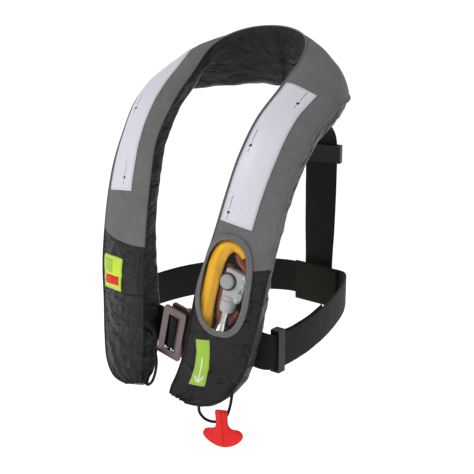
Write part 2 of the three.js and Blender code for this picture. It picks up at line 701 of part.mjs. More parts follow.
const gripPlate = new THREE.ExtrudeGeometry(gripOutline(), {
  depth: GRIP.thick, bevelEnabled: false, curveSegments: 5,
});
gripPlate.deleteAttribute('normal');
gripPlate.deleteAttribute('uv');
const grip = facingOut(mergeVertices(gripPlate, 1e-4)).translate(0, 0, -GRIP.thick / 2);
const ridge = box(4, 46, GRIP.thick + 3).translate(0, -24.5, 0);
const handleMatrix = new THREE.Matrix4()
  .makeRotationZ(HANDLE_TURN)
  .multiply(new THREE.Matrix4().makeRotationY(-HANDLE_LEAN))
  .multiply(new THREE.Matrix4().makeRotationX(Math.PI / 2))
  .setPosition(...HANDLE_AT);
const handleBore = tube(CORD_ROUTE.map(vec), CORD_D + 0.8, 10, 40);
piece('pull_handle', cut(join(grip, ridge).applyMatrix4(handleMatrix), handleBore), 'red_plastic');
piece('pull_cord', tube(CORD_ROUTE.map(vec), CORD_D, 8, 30), 'cord');

// ---- loop cord at the foot of the wearer's right lobe ----
const LOOP_ROUTE = [
  [-28, -150, -126],
  [-16, -159, -127],
  [-8, -166, -137],
  [-8, -170, -153],
  [-12, -173, -165],
  [-18, -174.5, -169],
  [-22.5, -174, -164],
  [-23.4, -172, -154],
];
piece('loop_cord', tube(LOOP_ROUTE.map(vec), CORD_D, 8, 22), 'cord');
const TIE_ROUTE = [[-28.5, -169, -142], [-20, -169.5, -144], [-10.6, -169.5, -146]];
piece('loop_tie', tube(TIE_ROUTE.map(vec), 3, 8, 5), 'cord');

export default group;
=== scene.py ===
"""Looks of an inflatable life jacket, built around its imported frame.

Shapes are drawn in millimetres from a point at chest height, midway between the lobes, as the part itself
is; place() moves them into the frame and turns them into metres. Along a lobe, s is the distance from the
lobe's foot, and c the distance across from the lobe's middle line, positive towards its outer edge.
"""

import math
from collections import namedtuple

import bmesh
import bpy
import numpy as np
from mathutils import Matrix, Vector, noise


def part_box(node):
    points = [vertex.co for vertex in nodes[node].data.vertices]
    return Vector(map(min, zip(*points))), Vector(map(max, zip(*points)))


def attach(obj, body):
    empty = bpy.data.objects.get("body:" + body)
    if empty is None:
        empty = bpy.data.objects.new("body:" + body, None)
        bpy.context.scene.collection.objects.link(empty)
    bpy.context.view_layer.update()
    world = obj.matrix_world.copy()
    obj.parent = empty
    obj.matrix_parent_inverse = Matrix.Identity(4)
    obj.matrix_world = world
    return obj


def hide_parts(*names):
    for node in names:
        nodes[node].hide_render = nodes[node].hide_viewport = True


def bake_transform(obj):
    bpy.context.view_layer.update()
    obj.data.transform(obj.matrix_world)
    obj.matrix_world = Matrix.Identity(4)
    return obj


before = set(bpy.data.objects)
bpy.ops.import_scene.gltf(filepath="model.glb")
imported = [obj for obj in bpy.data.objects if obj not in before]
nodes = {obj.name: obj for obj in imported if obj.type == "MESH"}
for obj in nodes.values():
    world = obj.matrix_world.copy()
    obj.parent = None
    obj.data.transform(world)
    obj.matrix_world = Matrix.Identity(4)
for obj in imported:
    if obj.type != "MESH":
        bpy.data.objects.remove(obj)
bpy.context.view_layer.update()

# ---------------------------------------------------------------- sizes, in millimetres
NECK_REST = np.array([0.0, 109.0, 234.0])
SEAM_S = 210.0  # grey cover above, black cover below
GRID_STEP = 5.0  # cloth grid
FRONT_CELLS = 20  # cells across the front face
SIDE_CELLS = 7
BACK_CELLS = 18
FRONT_W = 92  # about the front face's width, for its threads
CLOTH_FRAMES = 20
FRONT_SLACK = 5.5  # furthest that a point of the front face may swell
BACK_SLACK = 4.0
WINDOW = {"s": 187.0, "c": -10.0, "half_long": 59.0, "half_wide": 30.0, "tilt": -0.11}
SQUARENESS = 0.78  # of the window's outline, where 1 is an ellipse
HOLE_GROW = 5.2  # the cloth round the window ends under its binding
TAPE_W = 50.0
WEB_W = 50.0
WEB_T = 2.4
CORD_D = 4.0
TIE_D = 3.0
FRAME_TILT = 0.22
FRAME_AT = (8, -151, -95)  # middle of the front buckle frame
CYLINDER_AT = (-4, 0, -1)  # in the inflator's own frame
KNOB_AT = (-9, 3, 0)
PIPING_R = 1.3
CLOTH_T = 0.0009  # metres, as are the next two
CLOTH_RELIEF = 0.0006
LIT_POINT = (0, -0.1, -0.2)  # in the frame; the lamps are aimed at it
WAVE_MM = 314  # a wave texture of this scale repeats every millimetre

# inner edge, outer edge, (inner wall, outer wall, crown), from the wearer's left lobe's foot to the neck
STATIONS = [
    ((26, -180, -170), (46, -180, -175), (10, 8, 2)),
    ((27, -176, -158), (80, -172, -174), (18, 12, 5)),
    ((31, -170, -143), (106, -158, -160), (24, 18, 8)),
    ((36, -161, -115), (122, -144, -130), (28, 28, 9)),
    ((41, -154, -75), (131, -134, -85), (30, 32, 9)),
    ((46, -147, -30), (139, -126, -35), (28, 31, 9)),
    ((53, -136, 10), (143, -116, 12), (25, 28, 8)),
    ((60, -122, 55), (147, -104, 55), (22, 26, 8)),
    ((66, -106, 103), (150, -87, 100), (22, 26, 9)),
    ((71, -88, 146), (152, -64, 140), (22, 26, 10)),
    ((73, -52, 190), (155, -32, 180), (20, 26, 12)),
    ((76, -5, 224), (156, 12, 203), (17, 26, 14)),
    ((76, 45, 258), (143, 60, 206), (14, 31, 18)),
    ((50, 86, 276), (93, 114, 202), (12, 31, 16)),
    ((0, 104, 282), (0, 142, 200), (10, 22, 10)),
]

CORD_ROUTE = [
    (118.5, -119.5, -41.5), (114, -126, -72), (108, -134, -105), (108, -143, -135), (110, -151, -156),
    (111, -158, -174), (109, -163, -185), (103, -166.5, -191), (94, -169.5, -194), (82, -173, -192),
    (73, -174, -184), (70, -171, -173), (68, -164, -161),
]
LOOP_ROUTE = [
    (-28, -150, -126), (-16, -159, -127), (-8, -166, -137), (-8, -170, -153), (-12, -173, -165),
    (-18, -174.5, -169), (-22.5, -174, -164), (-23.4, -172, -154),
]
TIE_ROUTE = [(-28.5, -169, -142), (-20, -169.5, -144), (-10.6, -169.5, -146)]

# front buckle frame, behind the right lobe, round the back, behind the left lobe, rear buckle frame
BELT_ROUTE = [
    (-8.5, -143.6, -96), (-17, -137, -97), (-32, -125.5, -99), (-75, -115, -102), (-116, -104.5, -106),
    (-133, -88, -108), (-144, -50, -109), (-146, 0, -109), (-130, 70, -110), (-92, 146, -115),
    (-50, 191, -120), (0, 196, -121), (50, 190, -117), (84, 148, -109), (114, 72, -109), (129, 0, -112),
    (133, -50, -113), (133, -82, -112), (128, -98, -110), (114, -105, -106), (75, -115, -102),
    (32, -126, -99), (20, -137.6, -97),
]
TAIL_ROUTE = [(128, -84, -111.5), (128.6, -50, -113), (124.4, 0, -112), (114.5, 48, -110.5)]
STRAP_ROUTE = [
    (0, 132.9, 193.2), (0, 146, 176), (0, 164, 152), (0, 186, 128), (0, 201, 106), (0, 204, 80),
    (0, 204, 20), (0, 203, -40), (0, 202, -90), (0, 202, -140),
]
STRAP_TURN = [0, 0.05, 0.14, 0.22, 0.26, 0.26, 0.22, 0.12, 0, 0]


def place(points):
    """Millimetres from the chest point to metres in the frame."""
    return (np.asarray(points, float) - NECK_REST) / 1000


# ---------------------------------------------------------------- camera, stage and light
def aim(obj, target):
    obj.rotation_mode = "QUATERNION"
    obj.rotation_quaternion = (Vector(target) - obj.location).to_track_quat("-Z", "Y")


def make_camera():
    azimuth, elevation, away = math.radians(38), math.radians(18), 2.1
    back = Vector((
        math.sin(azimuth) * math.cos(elevation),
        -math.cos(azimuth) * math.cos(elevation),
        math.sin(elevation),
    ))
    chest = Vector(place((0, 0, 0)))
    data = bpy.data.cameras.new("camera")
    data.sensor_width = 36
    data.lens = 113.9
    camera = bpy.data.objects.new("camera", data)
    bpy.context.scene.collection.objects.link(camera)
    camera.location = chest + back * away
    aim(camera, chest)
    data.clip_start, data.clip_end = 0.05, 400
    bpy.context.scene.camera = camera


def area_light(name, location, size, watts):
    data = bpy.data.lights.new(name, "AREA")
    data.shape = "DISK"
    data.size = size
    data.energy = watts
    light = bpy.data.objects.new(name, data)
    bpy.context.scene.collection.objects.link(light)
    light.location = location
    aim(light, LIT_POINT)


def make_stage():
    world = bpy.data.worlds.new("studio")
    bpy.context.scene.world = world
    world.use_nodes = True
    world.node_tree.nodes["Background"].inputs["Color"].default_value = (1, 1, 1, 1)
    world.node_tree.nodes["Background"].inputs["Strength"].default_value = 0.6
    area_light("key", (-1.1, -1.9, 1.3), 0.6, 26)
    area_light("fill", (2.1, -1.5, 0.5), 1.5, 5)
    area_light("rim", (1.3, 1.6, 1.2), 1.0, 8)
    bpy.ops.mesh.primitive_plane_add(size=300, location=(0, 0, -0.95))
    floor = bpy.context.object
    floor.name = "floor"
    paint = bpy.data.materials.new("floor")
    paint.use_nodes = True
    shader = paint.node_tree.nodes["Principled BSDF"]
    shader.inputs["Base Color"].default_value = (0.93, 0.93, 0.93, 1)
    shader.inputs["Roughness"].default_value = 0.9
    shader.inputs["Emission Color"].default_value = (1, 1, 1, 1)
    shader.inputs["Emission Strength"].default_value = 0.5
    floor.data.materials.append(paint)
    bpy.context.scene.view_settings.view_transform = "Standard"


make_camera()
make_stage()


# ---------------------------------------------------------------- materials
class Paint:
    """A Principled material with short ways to add its pattern nodes."""

    def __init__(self, name, colour, roughness, **values):
        self.material = bpy.data.materials.new(name)
        self.material.use_nodes = True
        self.tree = self.material.node_tree
        self.shader = self.tree.nodes["Principled BSDF"]
        self.colour = (*colour, 1)
        self.shader.inputs["Base Color"].default_value = self.colour
        self.shader.inputs["Roughness"].default_value = roughness
        for socket, value in values.items():
            self.shader.inputs[socket.replace("_", " ")].default_value = value

    def add(self, kind, **inputs):
        node = self.tree.nodes.new(kind)
        for socket, value in inputs.items():
            target = node.inputs[int(socket[1:]) if socket[0] == "_" else socket.replace("_", " ")]
            if isinstance(value, bpy.types.NodeSocket):
                self.tree.links.new(value, target)
            else:
                target.default_value = value
        return node

    def maths(self, operation, a, b):
        node = self.add("ShaderNodeMath", _0=a, _1=b)
        node.operation = operation
        return node.outputs[0]

    def coordinates(self, source="Object", scale=(1, 1, 1), turn=0):
        """Texture coordinates in metres, turned by some degrees."""
        where = self.tree.nodes.new("ShaderNodeTexCoord").outputs[source]
        rotation = (0, 0, math.radians(turn))
        return self.add("ShaderNodeMapping", Vector=where, Scale=scale, Rotation=rotation).outputs[0]

    def noise(self, where, scale, detail=3.0):
        node = self.add("ShaderNodeTexNoise", Vector=where, Scale=scale, Detail=detail)
        return node.outputs["Fac"]

    def wave(self, where, scale, direction="X"):
        node = self.add("ShaderNodeTexWave", Vector=where, Scale=scale)
        node.bands_direction = direction
        return node.outputs["Fac"]

    def shade(self, factor, dark, light):
        """Base colour from dark to light shares of the paint's own colour."""
        mix = self.tree.nodes.new("ShaderNodeMix")
        mix.data_type = "RGBA"
        ends = [tuple(min(v * share, 1) for v in self.colour[:3]) + (1,) for share in (dark, light)]
        mix.inputs[6].default_value, mix.inputs[7].default_value = ends
        self.tree.links.new(factor, mix.inputs[0])
        self.tree.links.new(mix.outputs[2], self.shader.inputs["Base Color"])

    def bump(self, height, distance, strength=0.6):
        node = self.add("ShaderNodeBump", Height=height, Strength=strength, Distance=distance)
        self.tree.links.new(node.outputs[0], self.shader.inputs["Normal"])

    def vary_roughness(self, factor, low, high):
        node = self.add("ShaderNodeMapRange", Value=factor, To_Min=low, To_Max=high)
        self.tree.links.new(node.outputs[0], self.shader.inputs["Roughness"])


def cloth_paint(name, colour, thread=0.9, mottle=0.16, roughness=0.8, gloss=0.12, crumple=CLOTH_RELIEF):
    """Woven cloth: threads both ways in its own plane, soft blotches and fine fibres."""
    paint = Paint(
        name, colour, roughness, Sheen_Weight=0.04, Sheen_Roughness=0.4, Specular_IOR_Level=gloss
    )
    weave = paint.coordinates("UV")
    threads = paint.maths("MULTIPLY", *(paint.wave(weave, WAVE_MM / thread, way) for way in "XY"))
    body = paint.coordinates()
    blotch, fibre = paint.noise(body, 26, 4), paint.noise(body, 1400, 2)
    tone = paint.maths("ADD", paint.maths("MULTIPLY", blotch, 0.7), paint.maths("MULTIPLY", fibre, 0.3))
    paint.shade(tone, 1 - mottle * 2, 1 + mottle * 2)
    creases = paint.maths("MULTIPLY", paint.noise(body, 70, 5), 1.6)
    stretched = paint.coordinates(scale=(1, 1, 1.7))
    folds = paint.add("ShaderNodeTexNoise", Vector=stretched, Scale=24, Detail=1.5, Distortion=1.6)
    wrinkle = paint.maths("MULTIPLY", folds.outputs["Fac"], crumple / CLOTH_RELIEF)
    fine = paint.maths("ADD", creases, paint.maths("MULTIPLY", threads, 0.35))
    paint.bump(paint.maths("ADD", fine, wrinkle), CLOTH_RELIEF, 1.0)
    return paint.material


def webbing_paint(name, colour):
    """Ribbed belt webbing: diagonal twill between plain ribs."""
    paint = Paint(name, colour, 0.72, Sheen_Weight=0.05, Sheen_Roughness=0.35, Specular_IOR_Level=0.12)
    twill = paint.wave(paint.coordinates("UV", turn=32), 120, "X")
    ribs = paint.wave(paint.coordinates("UV"), 200, "Y")
    fibre = paint.noise(paint.coordinates(), 900, 3)
    paint.shade(paint.maths("MULTIPLY", paint.maths("ADD", twill, fibre), 0.5), 0.55, 1.7)
    paint.bump(paint.maths("ADD", twill, paint.maths("MULTIPLY", ribs, 0.4)), 0.0004, 0.8)
    return paint.material


def tape_paint():
    """Retro-reflective film: pale lavender, with fine cells in diagonal rows."""
    paint = Paint("reflective_tape", (0.58, 0.57, 0.63), 0.4, Specular_IOR_Level=0.3)
    rows = [paint.wave(paint.coordinates("UV", turn=turn), scale) for turn, scale in ((38, 150), (-52, 95))]
    cells = paint.maths("MULTIPLY", *rows)
    grain = paint.noise(paint.coordinates(), 420, 3)
    paint.shade(paint.maths("MULTIPLY", paint.maths("ADD", cells, grain), 0.6), 1.2, 0.76)
    paint.bump(cells, 0.00012, 0.5)
    return paint.material


def plastic_paint(name, colour, roughness=0.4, grain=0.00008, **values):
    paint = Paint(name, colour, roughness, **values)
    body = paint.coordinates()
    paint.shade(paint.noise(body, 40, 3), 0.9, 1.1)
    paint.bump(paint.noise(body, 1500, 2), grain, 0.5)
    paint.vary_roughness(paint.noise(body, 120, 3), roughness - 0.06, roughness + 0.08)
    return paint.material


def steel_paint(name, colour, roughness=0.3, along=(60, 60, 1200)):
    """Brushed steel, its scratches stretched along one way."""
    paint = Paint(name, colour, roughness, Metallic=1.0)
    scratches = paint.noise(paint.coordinates(scale=along), 1.0, 4)
    paint.shade(scratches, 0.8, 1.15)
    paint.vary_roughness(scratches, roughness - 0.06, roughness + 0.16)
    paint.bump(scratches, 0.00005, 0.4)
    return paint.material


def bladder_paint(name, colour, roughness, blotch, shades, wrinkle, **values):
    """Coated bladder cloth; blotch is (scale, detail) and wrinkle (scale, relief, strength)."""
    paint = Paint(name, colour, roughness, **values)
    body = paint.coordinates()
    paint.shade(paint.noise(body, *blotch), *shades)
    paint.bump(paint.noise(body, wrinkle[0], 5), *wrinkle[1:])
    return paint.material


def film_paint():
    paint = Paint("clear_film", (0.24, 0.25, 0.25), 0.1, Alpha=0.03)
    paint.bump(paint.noise(paint.coordinates(), 30, 2), 0.0006, 0.3)
    return paint.material


GREY_CLOTH = cloth_paint("grey_cloth", (0.135, 0.135, 0.136), mottle=0.13, crumple=0.006)
BLACK_CLOTH = cloth_paint(
    "black_cloth", (0.006, 0.006, 0.006), mottle=0.2, roughness=0.42, gloss=0.26, crumple=0.013
)
OLIVE_CLOTH = cloth_paint("olive_cloth", (0.012, 0.012, 0.006), mottle=0.2)
WEBBING = webbing_paint("webbing", (0.0075, 0.0075, 0.0075))
TAPE = tape_paint()
THREAD_PALE = cloth_paint("pale_thread", (0.62, 0.62, 0.66), thread=0.5)
THREAD_GREY = cloth_paint("grey_thread", (0.27, 0.27, 0.28), thread=0.5)
THREAD_BLACK = cloth_paint("black_thread", (0.045, 0.045, 0.048), thread=0.5)
LIME = plastic_paint("lime_label", (0.31, 0.49, 0.045), 0.5, Specular_IOR_Level=0.25)
LIME_PALE = plastic_paint("pale_lime_label", (0.50, 0.66, 0.035), 0.5, Specular_IOR_Level=0.25)
PRINT_WHITE = plastic_paint("white_print", (0.66, 0.72, 0.58), 0.55)
PRINT_RED = plastic_paint("red_print", (0.58, 0.012, 0.012), 0.5, Specular_IOR_Level=0.2)
PRINT_DARK = plastic_paint("dark_print", (0.03, 0.03, 0.04), 0.5)
AMBER = bladder_paint(
    "bladder_cloth", (0.97, 0.43, 0.004), 0.36, (42, 4), (0.62, 1.25), (130, 0.0012, 0.6),
    Coat_Weight=0.12, Specular_IOR_Level=0.3,
)
# the bladder cloth again, darker and browner: painted shade for the folds behind the inflator
SHADED_FOLD = bladder_paint(
    "shaded_bladder_fold", (0.19, 0.036, 0.014), 0.26, (75, 5), (0.25, 2.3), (160, 0.0015, 0.7),
    Coat_Weight=0.3, Coat_Roughness=0.15,
)
FILM = film_paint()
HOUSING = plastic_paint("housing", (0.45, 0.43, 0.44), 0.42, Specular_IOR_Level=0.3)
HOUSING_DARK = plastic_paint("housing_dark", (0.31, 0.32, 0.33), 0.4, Specular_IOR_Level=0.3)
# plain black for the ring round the knob's foot
KNOB_RING_BLACK = plastic_paint("dark_knob_ring", (0.02, 0.02, 0.02), 0.6)
GREEN = plastic_paint("green_indicator", (0.03, 0.38, 0.14), 0.25)
STEEL = steel_paint("stainless", (0.17, 0.128, 0.128), 0.34)
BRIGHT_STEEL = steel_paint("bright_steel", (0.8, 0.79, 0.78), 0.18, (40, 40, 300))
BLACK_PLASTIC = plastic_paint("black_plastic", (0.008, 0.008, 0.009), 0.42, Specular_IOR_Level=0.3)
RED_PLASTIC = plastic_paint("red_plastic", (0.66, 0.007, 0.006), 0.36, 0.0001, Specular_IOR_Level=0.25)
ORANGE_PLASTIC = plastic_paint("orange_plastic", (0.85, 0.14, 0.01), 0.38)
CORD_BRAID = webbing_paint("cord_braid", (0.010, 0.010, 0.010))


# ---------------------------------------------------------------- mesh helpers
def add_mesh(name, points, faces, paint, uv=None, body="jacket", slot=None, stands_for=(), fine=0):
    """A smooth-shaded piece from points in millimetres. uv holds one pair per point, in metres."""
    mesh = bpy.data.meshes.new(name)
    mesh.from_pydata(place(points).tolist(), [], [list(map(int, f)) for f in faces])
    mesh.materials.append(paint)
    if uv is not None:
        layer = mesh.uv_layers.new(name="UVMap")
        loops = np.empty(len(mesh.loops), int)
        mesh.loops.foreach_get("vertex_index", loops)
        layer.data.foreach_set("uv", np.asarray(uv, float)[loops].astype(np.float32).ravel())
    tidy = bmesh.new()
    tidy.from_mesh(mesh)
    bmesh.ops.recalc_face_normals(tidy, faces=tidy.faces)
    tidy.to_mesh(mesh)
    tidy.free()
    mesh.shade_smooth()
    obj = bpy.data.objects.new(name, mesh)
    bpy.context.scene.collection.objects.link(obj)
    if fine:
        smooth = obj.modifiers.new("fine", "SUBSURF")
        smooth.levels = smooth.render_levels = fine
    if body:
        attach(obj, body)
    if stands_for:
        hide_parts(*stands_for)
    return obj


def grid_faces(rows, columns, closed=False, looped=False):
    """Quads of a grid of points; closed joins its last column to the first, looped its last row."""
    faces = []
    for i in range(rows if looped else rows - 1):
        here, there = i * columns, (i + 1) % rows * columns
        for j in range(columns if closed else columns - 1):
            k = (j + 1) % columns
            faces.append((here + j, here + k, there + k, there + j))
    return faces


def sheet_faces(rows, columns):
    """A closed sheet of two equal grids: the first, the second turned over, and the rim between them."""
    top = grid_faces(rows, columns)
    count, last = rows * columns, columns - 1
    under = [tuple(n + count for n in reversed(face)) for face in top]
    rim = [*range(columns), *(i * columns + last for i in range(1, rows))]
    rim += [count - columns + j for j in range(last - 1, -1, -1)]
    rim += [i * columns for i in range(rows - 2, 0, -1)]
    return top + under + [(n, m, m + count, n + count) for n, m in zip(rim, rim[1:] + rim[:1])]


def swept(rings):
    """Closed solid from rings of points: (points, faces), with one many-sided face on each end."""
    rings = np.asarray(rings, float)
    rows, columns = rings.shape[:2]
    faces = grid_faces(rows, columns, closed=True)
    faces.append(tuple(range(columns)))
    faces.append(tuple(range((rows - 1) * columns, rows * columns))[::-1])
    return rings.reshape(-1, 3), faces


def add_solid(name, rings, paint, uv=None, **ties):
    """A closed piece through rings of points. Without uv, its pattern is laid on from above."""
    points, faces = swept(rings)
    return add_mesh(name, points, faces, paint, points[:, :2] / 1000 if uv is None else uv, **ties)


def add_tube(name, rings, paint, **ties):
    """The same with the pattern running along the rings."""
    return add_solid(name, rings, paint, line_uv(rings), **ties)


def ease_edges(obj, width, segments, angle):
    ease = obj.modifiers.new("ease", "BEVEL")
    ease.width, ease.segments, ease.angle_limit = width, segments, math.radians(angle)


def unit(v):
    v = np.asarray(v, float)
    return v / np.maximum(np.linalg.norm(v, axis=-1, keepdims=True), 1e-9)

def travel(line):
    """Distance run at each point of a line."""
    return np.concatenate([[0], np.cumsum(np.linalg.norm(np.diff(line, axis=0), axis=1))])
def catmull(points):
    """Centripetal Catmull-Rom curve through points, as a function of shares from 0 to 1."""
    pts = np.array(points, float)
    pts = np.vstack([2 * pts[0] - pts[1], pts, 2 * pts[-1] - pts[-2]])

    def root(a, b):
        return np.maximum(np.linalg.norm(b - a, axis=-1, keepdims=True), 1e-9) ** 0.5

    def at(share):
        t = np.clip(np.asarray(share, float), 0, 1) * (len(pts) - 3)
        i = np.minimum(t.astype(int), len(pts) - 4)
        w = (t - i)[..., None]
        p0, p1, p2, p3 = (pts[i + n] for n in range(4))
        d0, d1, d2 = root(p0, p1), root(p1, p2), root(p2, p3)
        m1 = ((p1 - p0) / d0 - (p2 - p0) / (d0 + d1) + (p2 - p1) / d1) * d1
        m2 = ((p2 - p1) / d1 - (p3 - p1) / (d1 + d2) + (p3 - p2) / d2) * d1
        a, b = w**2 * (3 - 2 * w), w * (w - 1)
        return (1 - a) * p1 + a * p2 + b * (w - 1) * m1 + b * w * m2

    return at


def tube_rings(line, radius, sides=10):
    """Rings round a line of points, carried along it without twisting; radius may vary."""
    line = np.asarray(line, float)
    ways = unit(np.gradient(line, axis=0))
    radii = np.broadcast_to(radius, len(line))
    side = unit(np.cross(ways[0], (0.31, 0.52, 0.79)))
    rings = []
    for point, way, r in zip(line, ways, radii):
        side = unit(side - way * side.dot(way))
        up = np.cross(way, side)
        turn = [2 * math.pi * i / sides for i in range(sides)]
        rings.append([point + r * (math.cos(a) * side + math.sin(a) * up) for a in turn])
    return rings


def line_uv(rings):
    """Distance along the rings and round each one, in metres."""
    rings = np.asarray(rings, float)
    round_it = np.arange(rings.shape[1]) * np.linalg.norm(rings[0, 1] - rings[0, 0])
    uv = np.stack(np.meshgrid(travel(rings.mean(axis=1)), round_it, indexing="ij"), -1)
    return uv.reshape(-1, 2) / 1000


# ---------------------------------------------------------------- the horseshoe's surface
WALK = STATIONS + [((-i[0], *i[1:]), (-o[0], *o[1:]), sizes) for i, o, sizes in reversed(STATIONS[:-1])]
inner_rail, outer_rail, wall_sizes = (catmull([station[n] for station in WALK]) for n in range(3))
Section = namedtuple("Section", "inner across along out width walls")


def middle_line(share):
    return (inner_rail(share) + outer_rail(share)) / 2


SHARES = np.linspace(0, 1, 1201)
TRAVEL = travel(middle_line(SHARES))
LENGTH = float(TRAVEL[-1])


def section(s):
    """Inner edge, ways across, along and out of the front face, width and wall sizes at s."""
    t = np.interp(s, TRAVEL, SHARES)
    inner, outer = inner_rail(t), outer_rail(t)
    across = unit(outer - inner)
    ahead = middle_line(np.minimum(t + 0.002, 1)) - middle_line(np.maximum(t - 0.002, 0))
    out = unit(np.cross(across, ahead))
    width = np.linalg.norm(outer - inner, axis=-1)
    return Section(inner, across, np.cross(out, across), out, width, wall_sizes(t))


def along_walk(side, s):
    """Distance from the wearer's left foot of the walk to s on a lobe; side -1 is the right lobe."""
    return s if side > 0 else LENGTH - s


def bare(s, x, lift):
    """Point of the plain cross-section at s: x from the inner edge, lift out of the flat face."""
    at = section(s)
    return at.inner + at.across * np.asarray(x)[..., None] + at.out * np.asarray(lift)[..., None]


def seam_shift(s, k):
    """How far the cover seams bow off a straight cut: they climb to both edges of the lobe."""
    rise = -2 + 5 * (2 * k - 1) ** 2 + 2 * k
    left = np.exp(-(((s - SEAM_S) / 30) ** 2))
    right = np.exp(-(((LENGTH - s - SEAM_S) / 30) ** 2))
    return rise * (left - right)


def stops(low, high):
    """Even stops from low to high, about a grid step apart."""
    return np.linspace(low, high, max(2, round((high - low) / GRID_STEP) + 1))


GRID_S = np.concatenate([
    stops(3, SEAM_S), stops(SEAM_S, LENGTH - SEAM_S)[1:-1], stops(LENGTH - SEAM_S, LENGTH - 3),
])
SEAM_LEFT = int(np.argmin(abs(GRID_S - SEAM_S)))
SEAM_RIGHT = int(np.argmin(abs(GRID_S - (LENGTH - SEAM_S))))
RING = FRONT_CELLS + SIDE_CELLS + BACK_CELLS + SIDE_CELLS
FRONT_K = np.linspace(0, 1, FRONT_CELLS + 1)


def shell_grid():
    """Rings round the lobe: front face, outer wall, back panel, inner wall."""
    grid = np.zeros((len(GRID_S), RING, 3))
    width, walls = section(GRID_S)[-2:]
    wall_in, wall_out, crown = walls.T
    for j in range(RING):
        if j <= FRONT_CELLS:
            k = FRONT_K[j]
            x, lift = k * width, 0.82 * crown * (1 - abs(2 * k - 1) ** 2.6)
        elif j < FRONT_CELLS + SIDE_CELLS:
            t = (j - FRONT_CELLS) / SIDE_CELLS
            x, lift = width + 1.2 * math.sin(math.pi * t), -wall_out * t
        elif j < RING - SIDE_CELLS:
            t = (j - FRONT_CELLS - SIDE_CELLS) / BACK_CELLS
            x = width * (1 - t) + 1.5 * (2 * t - 1)
            lift = -wall_out * (1 - t) - wall_in * t + 1.5 * abs(2 * t - 1) ** 6
        else:
            t = (j - RING + SIDE_CELLS) / SIDE_CELLS
            x, lift = -1.2 * math.sin(math.pi * t), -wall_in * (1 - t)
        s = GRID_S + (seam_shift(GRID_S, FRONT_K[j]) if j <= FRONT_CELLS else 0)
        grid[:, j] = bare(s, x, lift)
    return grid


def shell_faces(count):
    """The closed shell: its rings, and a fan on the foot of each lobe."""
    faces = grid_faces(count, RING, closed=True)
    for start, hub in ((0, count * RING), ((count - 1) * RING, count * RING + 1)):
        for j in range(RING):
            faces.append((start + j, start + (j + 1) % RING, hub))
    return faces


def puffed(grid):
    """The shell swollen by its packing: cloth held at the edge seams and the cover seams."""
    count = len(grid)
    hubs = [grid[0].mean(axis=0), grid[-1].mean(axis=0)]
    points = np.vstack([grid.reshape(-1, 3), hubs])
    shell = add_mesh("shell", points, shell_faces(count), BLACK_CLOTH)
    held = shell.vertex_groups.new(name="held")
    slack = shell.vertex_groups.new(name="slack")
    for i in range(count):
        foot = min(GRID_S[i], LENGTH - GRID_S[i])
        looseness = 1.0 if foot < SEAM_S else 0.45
        for j in range(RING):
            front_edge = j in (0, FRONT_CELLS)
            cover_seam = i in (SEAM_LEFT, SEAM_RIGHT) and j <= FRONT_CELLS
            if front_edge or cover_seam:
                held.add([i * RING + j], 1.0, "REPLACE")
            slack.add([i * RING + j], looseness, "REPLACE")
    held.add([count * RING, count * RING + 1], 1.0, "REPLACE")
    cloth = shell.modifiers.new("cloth", "CLOTH")
    settings = cloth.settings
    settings.quality = 5
    settings.mass = 0.25
    settings.bending_stiffness = 0.08
    settings.tension_stiffness = settings.compression_stiffness = 12
    settings.shear_stiffness = 6
    settings.vertex_group_mass = "held"
    settings.use_pressure = True
    settings.uniform_pressure_force = 4
    settings.vertex_group_shrink = "slack"
    settings.shrink_min = 0.0
    settings.shrink_max = -0.09
    settings.effector_weights.gravity = 0
    cloth.collision_settings.use_collision = False
    scene = bpy.context.scene
    cloth.point_cache.frame_start, cloth.point_cache.frame_end = 1, CLOTH_FRAMES
    for number in range(1, CLOTH_FRAMES + 1):
        scene.frame_set(number)
    evaluated = shell.evaluated_get(bpy.context.evaluated_depsgraph_get())
    moved = np.empty(len(points) * 3, np.float32)
    evaluated.data.vertices.foreach_get("co", moved)
    scene.frame_set(1)
    bpy.data.objects.remove(shell, do_unlink=True)
    return capped(grid, moved.reshape(-1, 3)[: count * RING].reshape(grid.shape) * 1000 + NECK_REST)


def capped(grid, moved):
    """No point moves further than the cloth's slack lets it."""
    step = moved - grid
    far = np.linalg.norm(step, axis=-1, keepdims=True)
    most = np.full((1, RING, 1), FRONT_SLACK)
    most[:, FRONT_CELLS + 1:] = BACK_SLACK
    return grid + step * np.minimum(1, most / np.maximum(far, 1e-9))


# side, then s and c from and to, where a tape's film holds the cloth flat
HELD_FLAT = ((1, 266, 470, -40, 12), (-1, 276, 505, -16, 34))

def tape_share(s, c):
    """1 under a reflective tape, where its film holds the cloth flat, and 0 away from it."""
    def band(value, low, high):
        return 1 / (1 + np.exp(-(value - low) / 3)) / (1 + np.exp((value - high) / 3))

    return sum(
        band(along_walk(side, s), low, high) * band(c, inner, outer)
        for side, low, high, inner, outer in HELD_FLAT
    )


def facing_out(normals):
    """The same normals, turned round if the front face's middle ones point into the lobe."""
    inwards = (normals[:, FRONT_CELLS // 2] * section(GRID_S).out).sum() < 0
    return -normals if inwards else normals


